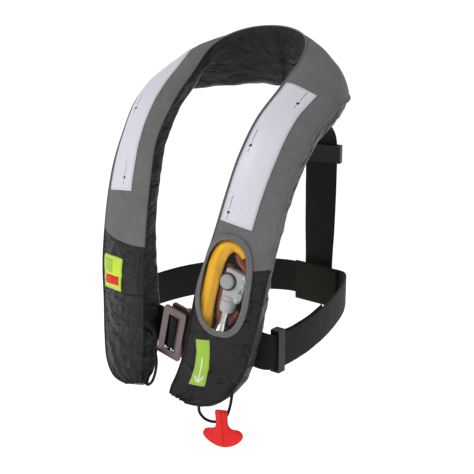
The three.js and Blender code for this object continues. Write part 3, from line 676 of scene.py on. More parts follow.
def creased(grid):
    """Soft creases: broad on the grey cover, close and deep on the black ones, gathers at the feet."""
    around = np.roll(grid, -1, axis=1) - np.roll(grid, 1, axis=1)
    normal = facing_out(unit(np.cross(around, np.gradient(grid, axis=0))))
    depth = np.zeros(grid.shape[:2])
    for i, s in enumerate(GRID_S):
        foot = min(s, LENGTH - s)
        black = 1 / (1 + math.exp((foot - SEAM_S) / 6))
        gather = math.exp(-foot / 38)
        for j in range(RING):
            p = grid[i, j]
            front = j <= FRONT_CELLS
            lining = 0 if front else 1
            edge = 1.0 if not front else min(1.0, 4.5 * min(FRONT_K[j], 1 - FRONT_K[j]))
            broad = noise.noise(Vector(p) / 34)
            close = noise.noise(Vector((p[0] / 17, p[1] / 17, p[2] / 9.5 + p[0] / 26)))
            bent = Vector((p[0] / 24 + 7, p[1] / 24, p[2] / 15 - p[0] / 20))
            fold = 1 - abs(noise.noise(bent)) * 2.6
            depth[i, j] = edge * (
                (1 - black) * (1 - lining) * (1.3 * broad + 0.7 * close)
                + max(black, 0.5 * lining) * (1.6 * close + 2.3 * max(fold, 0) ** 2 - 1.0)
                + gather * 2.1 * math.sin(j * 2 * math.pi / 4.5 + broad * 3)
            )
    c = (FRONT_K[None, :] - 0.5) * section(GRID_S).width[:, None]
    depth[:, : FRONT_CELLS + 1] *= 1 - 0.8 * np.clip(tape_share(GRID_S[:, None], c), 0, 1)
    return grid + normal * depth[..., None]


shell = shell_grid()
shell = puffed(shell)
shell = creased(shell)

front = shell[:, : FRONT_CELLS + 1]
front_normal = facing_out(unit(np.cross(np.gradient(front, axis=1), np.gradient(front, axis=0))))


def on_cover(s, k, lift):
    """Points on the creased front face, from s along the walk and k across it, raised by lift."""
    s, k, lift = np.broadcast_arrays(*(np.asarray(v, float) for v in (s, k, lift)))
    straight = s - seam_shift(s, k)
    i = np.clip(np.interp(straight, GRID_S, np.arange(len(GRID_S))), 0, len(GRID_S) - 1.001)
    j = np.clip(k * FRONT_CELLS, 0, FRONT_CELLS - 0.001)
    i0, j0 = i.astype(int), j.astype(int)
    u, v = (i - i0)[..., None], (j - j0)[..., None]

    def blended(field):
        low = field[i0, j0] * (1 - v) + field[i0, j0 + 1] * v
        high = field[i0 + 1, j0] * (1 - v) + field[i0 + 1, j0 + 1] * v
        return low * (1 - u) + high * u

    return blended(front) + unit(blended(front_normal)) * lift[..., None]


def skin(side, s, c, lift):
    """The same with s and c on one lobe, in millimetres."""
    s, c = np.broadcast_arrays(np.asarray(s, float), np.asarray(c, float))
    way = along_walk(side, s)
    return on_cover(way, 0.5 + c / section(way).width, lift)


# ---------------------------------------------------------------- covers and lining
def oval(angle, grow):
    """Rounded oblong of the window as (s, c)."""
    def eased(value):
        return np.sign(value) * abs(value) ** SQUARENESS

    along = eased(np.cos(angle)) * (WINDOW["half_long"] + grow)
    over = eased(np.sin(angle)) * (WINDOW["half_wide"] + grow)
    return WINDOW["s"] + along, WINDOW["c"] + over + along * WINDOW["tilt"]


def in_window(s, c, grow):
    along = (s - WINDOW["s"]) / (WINDOW["half_long"] + grow)
    over = (c - WINDOW["c"] - (s - WINDOW["s"]) * WINDOW["tilt"]) / (WINDOW["half_wide"] + grow)
    return abs(along) ** (2 / SQUARENESS) + abs(over) ** (2 / SQUARENESS) < 1


def cover_piece(name, low, high, paint, slot, stands_for, hole=False):
    """Front cloth between two rows of the grid; hole leaves out what lies in the window."""
    part = shell[low: high + 1, : FRONT_CELLS + 1]
    rows, columns = part.shape[:2]
    width = section(GRID_S).width

    def cut_out(face):
        i, j = divmod(face[0], columns)
        s = (GRID_S[low + i] + GRID_S[low + i + 1]) / 2
        return in_window(s, ((FRONT_K[j] + FRONT_K[j + 1]) / 2 - 0.5) * width[low + i], HOLE_GROW)

    faces = [face for face in grid_faces(rows, columns) if not (hole and cut_out(face))]
    uv = np.stack(np.meshgrid(GRID_S[low: high + 1], FRONT_K * FRONT_W, indexing="ij"), -1) / 1000
    used = sorted({v for face in faces for v in face})
    at = {v: n for n, v in enumerate(used)}
    obj = add_mesh(
        name, part.reshape(-1, 3)[used], [[at[v] for v in face] for face in faces], paint,
        uv.reshape(-1, 2)[used], slot=slot, stands_for=stands_for, fine=1,
    )
    thick = obj.modifiers.new("cloth", "SOLIDIFY")
    thick.thickness, thick.offset = CLOTH_T, -1


cover_piece("grey_cover", SEAM_LEFT, SEAM_RIGHT, GREY_CLOTH, "grey_cloth", ["cover_grey"], True)
cover_piece("left_lobe_cover", 0, SEAM_LEFT, BLACK_CLOTH, "black_cloth", ["cover_black_left"], True)
cover_piece(
    "right_lobe_cover", SEAM_RIGHT, len(GRID_S) - 1, BLACK_CLOTH, "black_cloth", ["cover_black_right"]
)


def lining_piece():
    """Side walls, back panel and the closed feet of both lobes."""
    columns = RING - FRONT_CELLS + 1
    part = np.concatenate([shell[:, FRONT_CELLS:], shell[:, :1]], axis=1)
    points = list(part.reshape(-1, 3))
    faces = grid_faces(len(part), columns)
    run = travel(part[60])  # one ring's lengths serve them all
    uv = list((np.stack(np.meshgrid(GRID_S, run, indexing="ij"), -1) / 1000).reshape(-1, 2))
    for row, s in ((0, 0.0), (len(part) - 1, LENGTH)):
        ring = [row * columns + j for j in range(columns)]
        first = len(points)
        edge = shell[row, 1:FRONT_CELLS]
        points.extend(edge)
        uv.extend([(s / 1000, 0)] * len(edge))
        ring += list(range(first, first + len(edge)))
        hub = len(points)
        points.append(shell[row].mean(axis=0))
        uv.append((s / 1000, 0))
        faces.extend((ring[n], ring[(n + 1) % len(ring)], hub) for n in range(len(ring)))
    obj = add_mesh(
        "lining", points, faces, BLACK_CLOTH, uv, slot="black_cloth", stands_for=["lining_tray"], fine=1
    )


lining_piece()


# rolled edges where the covers meet the side walls
for edge, column in (("inner", 0), ("outer", FRONT_CELLS)):
    for part, low, high, paint, slot in (
        ("grey", SEAM_LEFT, SEAM_RIGHT, GREY_CLOTH, "grey_cloth"),
        ("left", 0, SEAM_LEFT, BLACK_CLOTH, "black_cloth"),
        ("right", SEAM_RIGHT, len(GRID_S) - 1, BLACK_CLOTH, "black_cloth"),
    ):
        rings = tube_rings(shell[low: high + 1, column], PIPING_R, 8)
        add_tube(f"{edge}_edge_{part}", rings, paint, slot=slot)


# ---------------------------------------------------------------- stitches
class Stitches:
    """Rows of thread, gathered into one piece for each colour."""

    def __init__(self):
        self.points, self.faces = [], []

    def row(self, line, normals, pitch=3.4, thread=0.32):
        line, normals = np.asarray(line, float), np.asarray(normals, float)
        run = travel(line)
        for start in np.arange(pitch / 2, run[-1] - pitch, pitch):
            ends = [
                np.array([np.interp(d, run, line[:, a]) for a in range(3)])
                for d in (start, start + pitch * 0.68)
            ]
            up = unit(np.array([np.interp(start, run, normals[:, a]) for a in range(3)]))
            self.bead(ends[0], ends[1], up, thread)

    def bead(self, a, b, up, thread):
        way = unit(b - a)
        side = np.cross(way, up)
        first = len(self.points)
        self.points.append(a - up * 0.15)
        for share in (0.2, 0.8):
            middle = a + (b - a) * share + up * thread * 0.5
            for n in range(6):
                angle = n * math.pi / 3
                self.points.append(middle + thread * (math.cos(angle) * side + math.sin(angle) * up))
        self.points.append(b - up * 0.15)
        last = first + 13
        for n in range(6):
            m = (n + 1) % 6
            self.faces.append((first, first + 1 + n, first + 1 + m))
            self.faces.append((first + 1 + n, first + 7 + n, first + 7 + m, first + 1 + m))
            self.faces.append((last, first + 7 + m, first + 7 + n))

    def done(self, name, paint, slot):
        points = np.array(self.points)
        add_mesh(name, points, self.faces, paint, points[:, :2] / 1000, slot=slot)


def cover_row(stitches, side, path, lift, pitch=3.4):
    """A row along (s, c) points on the cover."""
    path = np.array(path, float)
    dense = np.vstack([
        path[n] + (path[n + 1] - path[n]) * np.linspace(0, 1, 40)[:, None] for n in range(len(path) - 1)
    ])
    line = skin(side, dense[:, 0], dense[:, 1], lift)
    stitches.row(line, skin(side, dense[:, 0], dense[:, 1], lift + 1) - line, pitch)


# ---------------------------------------------------------------- tapes and labels
def tape_corners(low, high, inner, drift):
    slant = 8
    return [
        (low, inner), (low - slant, inner + TAPE_W),
        (high - slant, inner + drift + TAPE_W), (high, inner + drift),
    ]


TAPE_LEFT = tape_corners(272, 471, -40, 3)
TAPE_RIGHT = tape_corners(281, 506, -15, -2)
INFO_LABEL = [(142, -8), (141, 38), (185, 38), (187, -8)]
INFO_BLOCK = [(149, -3), (148, 33), (160, 33), (161, -3)]
INFO_PANEL = [(164, 14), (164, 33), (181, 33), (181, 14)]
PULL_LABEL = [(39, -14), (45, 6), (110, -11), (105, -31)]


def within(corners, u, v):
    """(s, c) at shares u along and v across a four-cornered patch."""
    a, b, c, d = (np.array(p, float) for p in corners)
    u, v = np.asarray(u, float)[..., None], np.asarray(v, float)[..., None]
    return (a * (1 - u) + d * u) * (1 - v) + (b * (1 - u) + c * u) * v


def patch(name, side, corners, low, high, paint, slot, stands_for=(), step=3.0):
    """A thin sewn or printed patch that follows the cover, its rim eased down."""
    a, b, _, d = (np.array(p, float) for p in corners)
    nu, nv = (max(2, round(np.linalg.norm(edge) / step)) for edge in (d - a, b - a))
    u, v = np.meshgrid(np.linspace(0, 1, nu + 1), np.linspace(0, 1, nv + 1), indexing="ij")
    at = within(corners, u, v)
    rim = np.minimum(np.minimum(u, 1 - u) * nu, np.minimum(v, 1 - v) * nv)
    eased = low + (high - low) * np.minimum(1, 0.55 + rim * 0.45)
    points = np.vstack([skin(side, at[..., 0], at[..., 1], lift).reshape(-1, 3) for lift in (eased, low)])
    uv = np.vstack([at.reshape(-1, 2)] * 2) / 1000
    add_mesh(name, points, sheet_faces(nu + 1, nv + 1), paint, uv, slot=slot, stands_for=stands_for)


def hem(side, corners, by, lift, pitch=3.4):
    """Pale stitches round a patch, drawn in from its edge."""
    pts = [np.array(p, float) for p in corners]
    middle = sum(pts) / 4
    ring = [tuple(p + (middle - p) / abs(middle - p) * by) for p in pts]
    cover_row(pale, side, ring + ring[:1], lift, pitch)


pale, grey_thread, black_thread = Stitches(), Stitches(), Stitches()
for name, side, corners in (
    ("reflective_tape_left", 1, TAPE_LEFT),
    ("reflective_tape_right", -1, TAPE_RIGHT),
):
    patch(f"{name}_film", side, corners, 0.2, 1.3, TAPE, "reflective_tape", [name])
    hem(side, corners, 2.2, 1.35)

patch("info_label_cloth", -1, INFO_LABEL, 0.2, 1.0, LIME_PALE, "lime_label", ["info_label"])
patch("info_label_red", -1, INFO_BLOCK, 1.0, 1.3, PRINT_RED, "red_print", ["info_label_block"])
patch("info_label_panel", -1, INFO_PANEL, 1.0, 1.25, LIME, "lime_label")
patch("pull_label_cloth", 1, PULL_LABEL, 0.2, 1.0, LIME, "lime_label", ["pull_label"])
hem(-1, INFO_LABEL, 1.6, 1.05, 2.8)
hem(1, PULL_LABEL, 1.6, 1.05, 2.8)


def arrow():
    """The pull arrow, pointing at the lobe's foot: a shaft and two barbs."""
    tip = within(PULL_LABEL, 0.08, 0.5)
    for number, (u, v) in enumerate([(0.62, 0.5), (0.22, 0.2), (0.22, 0.8)]):
        start, end = tip, within(PULL_LABEL, u, v)
        way = unit(end - start)
        side = np.array([-way[1], way[0]]) * 1.1
        corners = [start - side, start + side, end + side, end - side]
        patch(f"pull_arrow_{number}", 1, corners, 1.0, 1.35, PRINT_WHITE, "lime_label", step=2.0)


arrow()


def tape_marks(number, side, s, c):
    """A plain round dot with a fine line each way, printed on the tape."""
    for part, (low, high, half) in enumerate(((-9, -4, 0.35), (4.5, 22, 0.35))):
        corners = [(s + low, c - half), (s + low, c + half), (s + high, c + half), (s + high, c - half)]
        patch(
            f"tape_line_{number}_{part}", side, corners, 1.3, 1.45, PRINT_DARK, "reflective_tape", step=2.0
        )
    turn = np.linspace(0, 2 * math.pi, 13)[:-1]
    dot = [
        skin(side, s + r * np.cos(turn), c + r * np.sin(turn), lift) for r, lift in ((2.3, 1.3), (2.0, 1.5))
    ]
    add_solid(f"tape_dot_{number}", dot, PRINT_DARK, slot="reflective_tape")


for number, spot in enumerate([(1, 283, -30), (1, 372, -30), (1, 440, 0), (-1, 296, 2), (-1, 392, 18)]):
    tape_marks(number, *spot)


# ---------------------------------------------------------------- window: binding, film and what it shows
TURN = np.linspace(0, 2 * math.pi, 121)[:-1]


def window_binding():
    """Bias binding round the window, its two edges rolled and slightly puckered by the stitching."""
    profile = [
        (1.4, 0.0), (1.2, 1.3), (2.0, 2.4), (3.4, 2.2), (5.2, 2.4), (7.2, 2.2), (9.0, 2.0), (9.9, 1.2),
        (9.8, 0.0),
    ]
    rings = []
    for number, angle in enumerate(TURN):
        pucker = 0.22 * math.sin(number * 1.7) + 0.14 * math.sin(number * 0.63)
        ring = []
        for grow, lift in profile:
            s, c = oval(np.array(angle), grow)
            ring.append(skin(1, s, c, lift + (pucker if 0.5 < lift < 2.4 else 0)))
        rings.append(ring)
    rings = np.array(rings)
    rows, columns = rings.shape[:2]
    run = np.arange(rows) * 2.6
    uv = np.stack(np.meshgrid(run, np.arange(columns) * 1.6, indexing="ij"), -1).reshape(-1, 2) / 1000
    add_mesh(
        "window_edge", rings.reshape(-1, 3), grid_faces(rows, columns, True, True), GREY_CLOTH, uv,
        slot="grey_cloth", stands_for=["window_binding"], fine=1,
    )
    for grow in (3.3, 7.4):
        s, c = oval(np.append(TURN, 0), grow)
        line = skin(1, s, c, 2.3)
        grey_thread.row(line, skin(1, s, c, 3.3) - line, 3.0, 0.34)


window_binding()


def window_film():
    """Clear film sewn under the binding."""
    shares = (1, 0.8, 0.6, 0.4, 0.2)

    def ring(share, lift):
        s, c = oval(TURN, 3)
        s, c = WINDOW["s"] + (s - WINDOW["s"]) * share, WINDOW["c"] + (c - WINDOW["c"]) * share
        return skin(1, s, c, lift - 0.3 * (1 - share**2))

    rings = [ring(k, -1.1) for k in reversed(shares)] + [ring(k, -0.6) for k in shares]
    add_solid("window_clear_film", rings, FILM, slot="clear_film", stands_for=["window_film"])


window_film()


def lobe_point(side, s, c, lift):
    """Point inside the lobe, lift measured from the flat face."""
    way = along_walk(side, np.asarray(s, float))
    return bare(way, section(way).width / 2 + np.asarray(c, float), np.asarray(lift, float))


def creased_tube(line, radius, sides, folds, seed):
    """A rolled tube of coated cloth, with lengthwise creases that wander along it."""
    rings = np.array(tube_rings(line, radius, sides))
    middles = rings.mean(axis=1, keepdims=True)
    for i in range(len(rings)):
        for j in range(sides):
            angle = 2 * math.pi * j / sides
            wander = noise.noise(Vector((math.cos(angle) * 0.9, math.sin(angle) * 0.9 + seed, i * 0.09)))
            ridge = 0.06 * math.cos(folds * angle + 2.5 * wander + seed) + 0.16 * wander
            rings[i, j] = middles[i, 0] + (rings[i, j] - middles[i, 0]) * (1 + ridge)
    return rings


def roll_piece(name, side, route, steps, radius, *creases, paint=AMBER, **ties):
    """A roll of bladder cloth through (s, c, lift) points in a lobe."""
    line = catmull([lobe_point(side, *p) for p in route])(np.linspace(0, 1, steps))
    add_tube(name, creased_tube(line, radius, *creases), paint, slot="bladder_cloth", **ties)


def bladder_pieces():
    """The bladder's rolls down both lobes; the left one turns over at the top of the window."""
    route = [
        (52, -22, -11), (80, -26, -10), (110, -29, -9), (140, -31, -8), (170, -32, -8),
        (200, -32, -7.5), (222, -31, -7), (236, -26, -7), (242, -16, -8), (238, -4, -10), (227, 5, -14),
    ]
    sizes = [5, 7.5, 9.4, 10.2, 10.4, 10.4, 10.4, 10.4, 10, 9, 7]
    radius = catmull([(r, 0, 0) for r in sizes])(np.linspace(0, 1, 90))[:, 0]
    roll_piece("bladder_roll_left", 1, route, 90, radius, 28, 5, 0.4, stands_for=["bladder"], fine=1)
    along = np.linspace(262, LENGTH - 262, 120)
    walls = section(along).walls
    deep, crown = walls[:, :2].mean(axis=1), walls[:, 2]
    line = lobe_point(1, along, np.zeros(120), (crown - deep) / 2)
    rings = creased_tube(line, np.minimum((crown + deep) / 2 - 6.5, 9), 20, 5, 2.1)
    add_tube("bladder_packed", rings, AMBER, slot="bladder_cloth")
    route = [(60, -20, -9), (110, -24, -8), (180, -24, -8), (250, -22, -8)]
    roll_piece("bladder_roll_right", -1, route, 60, 8.5, 20, 5, 3.3)


def shadowed_folds():
    """Crumpled bladder cloth in the shade behind the inflator; its darker, browner colour is painted shade.
    """
    folds = [
        ([(236, 0, -13), (226, 10, -12), (212, 15, -13), (198, 17, -15)], 6.5, 1.3),
        ([(229, -8, -15), (219, -1, -14), (211, 8, -15), (205, 14, -17)], 6.0, 4.2),
        ([(202, 26, -21), (190, 28, -22)], 5.5, 2.6),
        ([(150, 12, -20), (140, 6, -18), (131, 0, -16)], 6.0, 0.7),
        ([(215, -16, -17), (180, -18, -17), (150, -16, -17), (128, -12, -17)], 5.0, 5.7),
    ]
    for number, (route, radius, seed) in enumerate(folds):
        roll_piece(f"shaded_bladder_fold_{number}", 1, route, 44, radius, 24, 4, seed, paint=SHADED_FOLD, fine=1)


bladder_pieces()
shadowed_folds()


# ---------------------------------------------------------------- inflator
def bay_frame():
    """The inflator's own frame: x across the lobe, y up along it, z out of its face."""
    at = section(np.array(WINDOW["s"]))
    lean = -0.15
    x = at.across * math.cos(lean) + at.along * math.sin(lean)
    return x, np.cross(at.out, x), at.out, at.inner + at.across * at.width / 2 - 12 * at.out


BAY_X, BAY_Y, BAY_Z, BAY_ORIGIN = bay_frame()


def in_bay(points):
    points = np.asarray(points, float)
    return BAY_ORIGIN + points[..., :1] * BAY_X + points[..., 1:2] * BAY_Y + points[..., 2:] * BAY_Z


def bay_lathe(profile, centre, axis="z", sides=40):
    """Rings of a turned shape: profile of (radius, height) about an axis through centre."""
    rings = []
    turn = np.linspace(0, 2 * math.pi, sides + 1)[:-1]
    for radius, height in profile:
        a, b, h = radius * np.cos(turn), radius * np.sin(turn), np.full(sides, float(height))
        ring = np.stack([a, b, h] if axis == "z" else [a, h, -b], -1)
        rings.append(in_bay(ring + np.array(centre, float)))
    return rings


def bay_plate(outline, low, high, ease):
    """Rings of a flat plate with eased edges, from an outline of (x, y)."""
    outline = np.array(outline, float)
    middle = outline.mean(axis=0)
    rings = []
    for shrink, z in ((ease, low), (0, low + ease), (0, high - ease), (ease, high)):
        flat = outline + unit(middle - outline) * shrink
        rings.append(in_bay(np.column_stack([flat, np.full(len(flat), z)])))
    return rings


def rounded(corners, radius, steps=5):
    """Outline with its corners rounded off by quadratic arcs."""
    pts = [np.array(p, float) for p in corners]
    result = []
    for n, p in enumerate(pts):
        a, b = p + unit(pts[n - 1] - p) * radius, p + unit(pts[(n + 1) % len(pts)] - p) * radius
        for t in np.linspace(0, 1, steps):
            result.append((1 - t) ** 2 * a + 2 * t * (1 - t) * p + t**2 * b)
    return result


def bay_piece(name, rings, paint, slot, body="jacket", stands_for=()):
    obj = add_solid(name, rings, paint, body=body, slot=slot, stands_for=stands_for)
    ease_edges(obj, 0.0004, 2, 38)


def inflator():
    plate = rounded([(-15.5, 20.5), (16.5, 16.5), (15.5, -14), (10.5, -23), (-13, -21)], 2.4)
    socket = [
        (0.5, -17), (10.6, -17), (11, -20), (11, -29), (10.4, -34), (9.4, -37.4), (7.8, -38), (7.8, -36),
    ]
    collar = [(10.9, -20.6), (11.5, -21), (11.5, -23.4), (10.9, -23.8), (10.9, -20.6)]
    # a black ring round the knob's foot, a little wider than the knob
    dark_knob_ring = [(10.2, 6.05), (12.2, 6.05), (12.2, 6.8), (10.2, 6.8), (10.2, 6.05)]
    knob = [(0.4, 6.3), (9.6, 6.3), (10, 7), (10, 10), (9.2, 11.3), (8, 11.8), (0.4, 11.8)]
    cylinder = [
        (0.4, -135), (7, -135), (11, -133.4), (12.2, -131.4), (12.5, -129), (12.5, -76), (12, -70),
        (10.6, -64), (8.4, -59), (7, -55), (6.5, -50), (6.5, -27), (0.4, -26),
    ]
    mark = rounded([(7.6, -8.5), (13.8, -8), (11, -1.6)], 1.2, 4)
    bay_piece(
        "inflator_plate", bay_plate(plate, -8, 6, 0.9), HOUSING, "housing", stands_for=["inflator_body"]
    )
    bay_piece("inflator_socket", bay_lathe(socket, CYLINDER_AT, "y"), HOUSING, "housing")
    bay_piece("inflator_collar", bay_lathe(collar, CYLINDER_AT, "y"), HOUSING_DARK, "housing_dark")
    bay_piece("cap_gasket", bay_lathe(dark_knob_ring, KNOB_AT), KNOB_RING_BLACK, "black_plastic")
    bay_piece(
        "inflator_knob", bay_lathe(knob, KNOB_AT), HOUSING_DARK, "housing_dark", "cap", ["inflator_cap"]
    )
    bay_piece(
        "cylinder", bay_lathe(cylinder, CYLINDER_AT, "y"), BRIGHT_STEEL, "cylinder_steel", "cylinder",
        ["gas_cylinder"],
    )
    bay_piece(
        "status_mark", bay_plate(mark, 6.1, 7, 0.25), GREEN, "green_indicator",
        stands_for=["status_indicator"],
    )
    head = [(0.3, 6.1), (1.9, 6.1), (2, 6.6), (1.6, 7.3), (0.3, 7.4)]
    for number, (x, y) in enumerate([(12, 14), (8, -17), (12.5, 3.5)]):
        rings = bay_lathe(head, (x, y, 0), sides=20)
        stands_for = ["inflator_screw"] if number == 0 else []
        bay_piece(f"screw_{number}", rings, BRIGHT_STEEL, "stainless", "jacket", stands_for)


inflator()


# ---------------------------------------------------------------- webbing
def ribbon(route, ups, thick, step):
    """Flat webbing along a route: the points, faces and uv of its slightly cupped section."""
    shares = np.linspace(0, 1, 600)
    line, lean = catmull(route), catmull(ups)
    run = travel(line(shares))
    share = np.interp(np.linspace(0, run[-1], max(6, round(run[-1] / step))), run, shares)
    points = line(share)
    way = unit(np.gradient(points, axis=0))
    up = lean(share)
    up = unit(up - way * (up * way).sum(axis=1, keepdims=True))
    off = np.cross(way, up)
    across = np.linspace(-1, 1, 11)
    profile = [(a, 1 - 0.25 * a**8) for a in across] + [(a, -1 + 0.25 * a**8) for a in across[::-1]]
    rings, uv = [], []
    for number, p in enumerate(points):
        ripple = [0.35 * noise.noise(Vector(p) / 15 + Vector((a * 2, 0, 0))) for a, _ in profile]
        rings.append([
            p + up[number] * (a * WEB_W / 2) + off[number] * (h * thick / 2 + w)
            for (a, h), w in zip(profile, ripple)
        ])
        along = share[number] * run[-1] / 1000
        uv.extend((along, a * WEB_W / 2000) for a, _ in profile)
    return *swept(rings), uv


def belt_up(p):
    if abs(p[0]) < 25 and p[1] < 0:
        return (FRAME_TILT, 0, 1)
    return (0, 0.16, 1) if p[1] < -95 else (0, 0.03, 1)


def web_piece(name, route, ups, stands_for=(), step=6, thick=WEB_T, body="jacket"):
    points, faces, uv = ribbon(route, ups, thick, step)
    return add_mesh(name, points, faces, WEBBING, uv, body, "webbing", stands_for, fine=1)


web_piece("belt_webbing", BELT_ROUTE, [belt_up(p) for p in BELT_ROUTE], ["waist_belt"])
web_piece("belt_tail_webbing", TAIL_ROUTE, [(0, 0.03, 1)] * len(TAIL_ROUTE), ["belt_tail"])
# the strap's end is sewn into the collar's outer wall
SEWN_END = (0, 128.8, 202.2)
web_piece(
    "back_webbing", [SEWN_END] + STRAP_ROUTE, [(1, t, 0) for t in [0] + STRAP_TURN], ["back_strap"]
)

# webbing sewn round a bar in the front frame's slot
SLOT_LOOP = [
    (-8.5, -144.2, -96), (-3, -146.2, -95.6), (4, -147, -95.3), (11, -146.8, -95), (14.4, -149.2, -95),
    (11, -151.6, -95), (5, -151.8, -95), (1.6, -150, -95), (4, -148.9, -95),
]
slot_web = web_piece(
    "buckle_webbing", SLOT_LOOP, [(FRAME_TILT, 0, 1)] * len(SLOT_LOOP), step=2, thick=1.6, body=None
)
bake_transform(slot_web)


# ---------------------------------------------------------------- hard pieces kept from the frame
def dress(node, paint, width=0.0008, segments=3):
    """A frame node whose shape is right: eased edges and its finish."""
    obj = nodes[node]
    obj.data.materials.clear()
    obj.data.materials.append(paint)
    ease_edges(obj, width, segments, 35)


dress("buckle_frame_front", STEEL, 0.0009)
dress("buckle_frame_rear", STEEL, 0.0009)
dress("belt_slider", BLACK_PLASTIC, 0.0012)
dress("back_adjuster", BLACK_PLASTIC, 0.0012)
dress("firing_pin", BRIGHT_STEEL, 0.0003, 2)
dress("inflator_lever", BLACK_PLASTIC)
dress("oral_tube", BLACK_PLASTIC, 0.0006, 2)
dress("oral_tube_cap", ORANGE_PLASTIC)
dress("whistle", ORANGE_PLASTIC, 0.0015)


def frame_point(x, z, y):
    """Point of the front buckle frame: x across and z up its plane, y out of its back, in millimetres."""
    tilt_cos, tilt_sin = math.cos(FRAME_TILT), math.sin(FRAME_TILT)
    return np.array([
        FRAME_AT[0] + x * tilt_cos + z * tilt_sin, FRAME_AT[1] + y, FRAME_AT[2] - x * tilt_sin + z * tilt_cos,
    ])


def slot_lip():
    """Rolled lip round the front frame's slot."""
    rings = []
    for x, z in rounded([(-9.6, -28), (9.6, -28), (9.6, 28), (-9.6, 28)], 2.4, 6):
        inward = 1 - 1.6 / np.linalg.norm((x, z))
        near, up = x * inward, z * inward
        profile = [(x, z, -1.9), (x, z, -2.7), (near, up, -2.9), (near - np.sign(x) * 0.6, up, -1.9)]
        rings.append([frame_point(*p) for p in profile])
    rings = np.array(rings)
    faces = grid_faces(*rings.shape[:2], True, True)
    add_mesh("buckle_lip", rings.reshape(-1, 3), faces, STEEL, slot="stainless", body="front_frame")


slot_lip()

# two bright hooks at the foot of the slot
for number, x in enumerate((-6.2, 4.6)):
    line = [frame_point(x, -26, -1.2), frame_point(x, -24, -2.6), frame_point(x + 0.4, -20.5, -2.8)]
    points, faces = swept(tube_rings(line, 0.9, 10))
    add_mesh(f"buckle_hook_{number}", points, faces, BRIGHT_STEEL, slot="stainless", body="front_frame")


# ---------------------------------------------------------------- pull handle
def handle_outline():
    """Mushroom grip: straight stem, rounded shoulders and a deep curved foot."""
    half = [
        (8.6, 1), (8.6, -8), (8.4, -15), (9.4, -20), (12.5, -23.4), (17, -24.2), (21.5, -24.6),
        (25.6, -26.4), (28.2, -29.6), (28.8, -33), (27.2, -37), (23.2, -41.4), (17.4, -45.6),
        (9.4, -49.2), (0, -50.8),
    ]
    curve = catmull([(x, y, 0) for x, y in half])(np.linspace(0, 1, 46))[:, :2]
    left = curve[::-1][1:] * (-1, 1)
    top = [(-7.2, 2.4), (0, 2.8), (7.2, 2.4)]
    return np.vstack([curve, left, top])


def handle_point(p):
    turn, lean = 0.26, 0.08
    matrix = (
        Matrix.Rotation(turn, 4, "Z") @ Matrix.Rotation(-lean, 4, "Y") @ Matrix.Rotation(math.pi / 2, 4, "X")
    )
    return np.array(matrix @ Vector(p)) + (103.5, -166.5, -178)


def pull_handle():
    """The grip, its edge rounded over, and the ridge down its middle."""
    outline = handle_outline()
    ways = np.gradient(outline, axis=0)
    inward = unit(np.column_stack([ways[:, 1], -ways[:, 0]]))
    inward = inward * np.sign((inward * (np.array([0, -34]) - outline)).sum(axis=1).mean())
    rings, steps = [], 6
    for n in range(steps + 1):
        angle = math.pi / 2 * (n / steps * 2 - 1)
        z, shrink = 2.9 * math.sin(angle), 2.4 * (1 - math.cos(angle))
        rings.append([handle_point((x, y, z)) for x, y in outline + inward * shrink])
    ties = {"body": "handle", "slot": "red_plastic"}
    add_solid("grip", rings, RED_PLASTIC, stands_for=["pull_handle"], **ties)
    rings = []
    for y in np.linspace(-1, -47, 24):
        end = min(1, (-y) / 5, (47.6 + y) / 5)
        high = 2.9 + 1.7 * math.sqrt(max(end, 0.05))
        turn = np.linspace(0, 2 * math.pi, 17)[:-1]
        rings.append([handle_point((2.3 * math.cos(a), y, high * math.sin(a))) for a in turn])
    add_solid("grip_ridge", rings, RED_PLASTIC, **ties)


pull_handle()


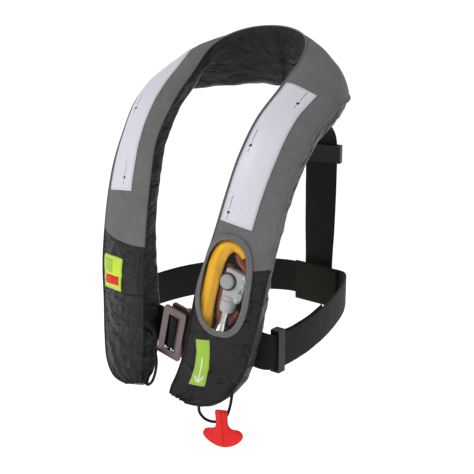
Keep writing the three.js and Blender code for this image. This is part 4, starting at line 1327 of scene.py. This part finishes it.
# ---------------------------------------------------------------- cords
def cord_piece(name, route, diameter, body, stands_for, steps):
    """Round braided cord along its route; returns the piece and its centreline in metres."""
    line = catmull(route)(np.linspace(0, 1, steps))
    rings = tube_rings(line, diameter / 2, 12)
    obj = add_tube(name, rings, CORD_BRAID, body=body, slot="cord_braid", stands_for=stands_for)
    return obj, place(line)


pull, pull_path = cord_piece("pull_line", CORD_ROUTE, CORD_D, None, ["pull_cord"], 110)
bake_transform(pull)
loop, loop_path = cord_piece("foot_loop", LOOP_ROUTE, CORD_D, "jacket", ["loop_cord"], 60)
tie, _ = cord_piece("foot_tie", TIE_ROUTE, TIE_D, "jacket", ["loop_tie"], 14)


# ---------------------------------------------------------------- back patch and the last seams
def back_patch():
    """Sewn patch that joins the strap to the belt."""
    low, high = (np.array(v) * 1000 + NECK_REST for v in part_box("back_patch"))
    nx, nz = 26, 22
    points, uv = [], []
    for side in (0, 1):
        for i in range(nx + 1):
            for j in range(nz + 1):
                u, v = i / nx, j / nz
                rim = min(1, 12 * min(u, 1 - u, v, 1 - v))
                bulge = 0.5 * noise.noise(Vector((u * 4, v * 4, side * 3.0)))
                half = (high[1] - low[1]) / 2 * (0.35 + 0.65 * rim) + (bulge * rim if side else 0)
                y = (low[1] + high[1]) / 2 + (half if side else -half)
                points.append((low[0] + (high[0] - low[0]) * u, y, low[2] + (high[2] - low[2]) * v))
                uv.append((u * 0.076, v * 0.062))
    faces = sheet_faces(nx + 1, nz + 1)
    add_mesh(
        "patch_cloth", points, faces, OLIVE_CLOTH, uv, slot="olive_cloth", stands_for=["back_patch"], fine=1
    )
    left, right, foot, top = low[0] + 4, high[0] - 4, low[2] + 4, high[2] - 4
    corners = [(left, foot), (right, foot), (right, top), (left, top), (left, foot)]
    line = [(x, low[1] - 0.2, z) for x, z in corners]
    dense = np.vstack([np.linspace(a, b, 20) for a, b in zip(line, line[1:])])
    black_thread.row(dense, np.tile((0, -1.0, 0), (len(dense), 1)))


back_patch()

for side in (1, -1):
    for edge in (-40, 40):
        cover_row(black_thread, side, [(s, edge * min(1, s / 110)) for s in range(60, 206, 12)], 0.1)

pale.done("stitching_pale", THREAD_PALE, "reflective_tape")
grey_thread.done("stitching_grey", THREAD_GREY, "grey_cloth")
black_thread.done("stitching_black", THREAD_BLACK, "black_cloth")
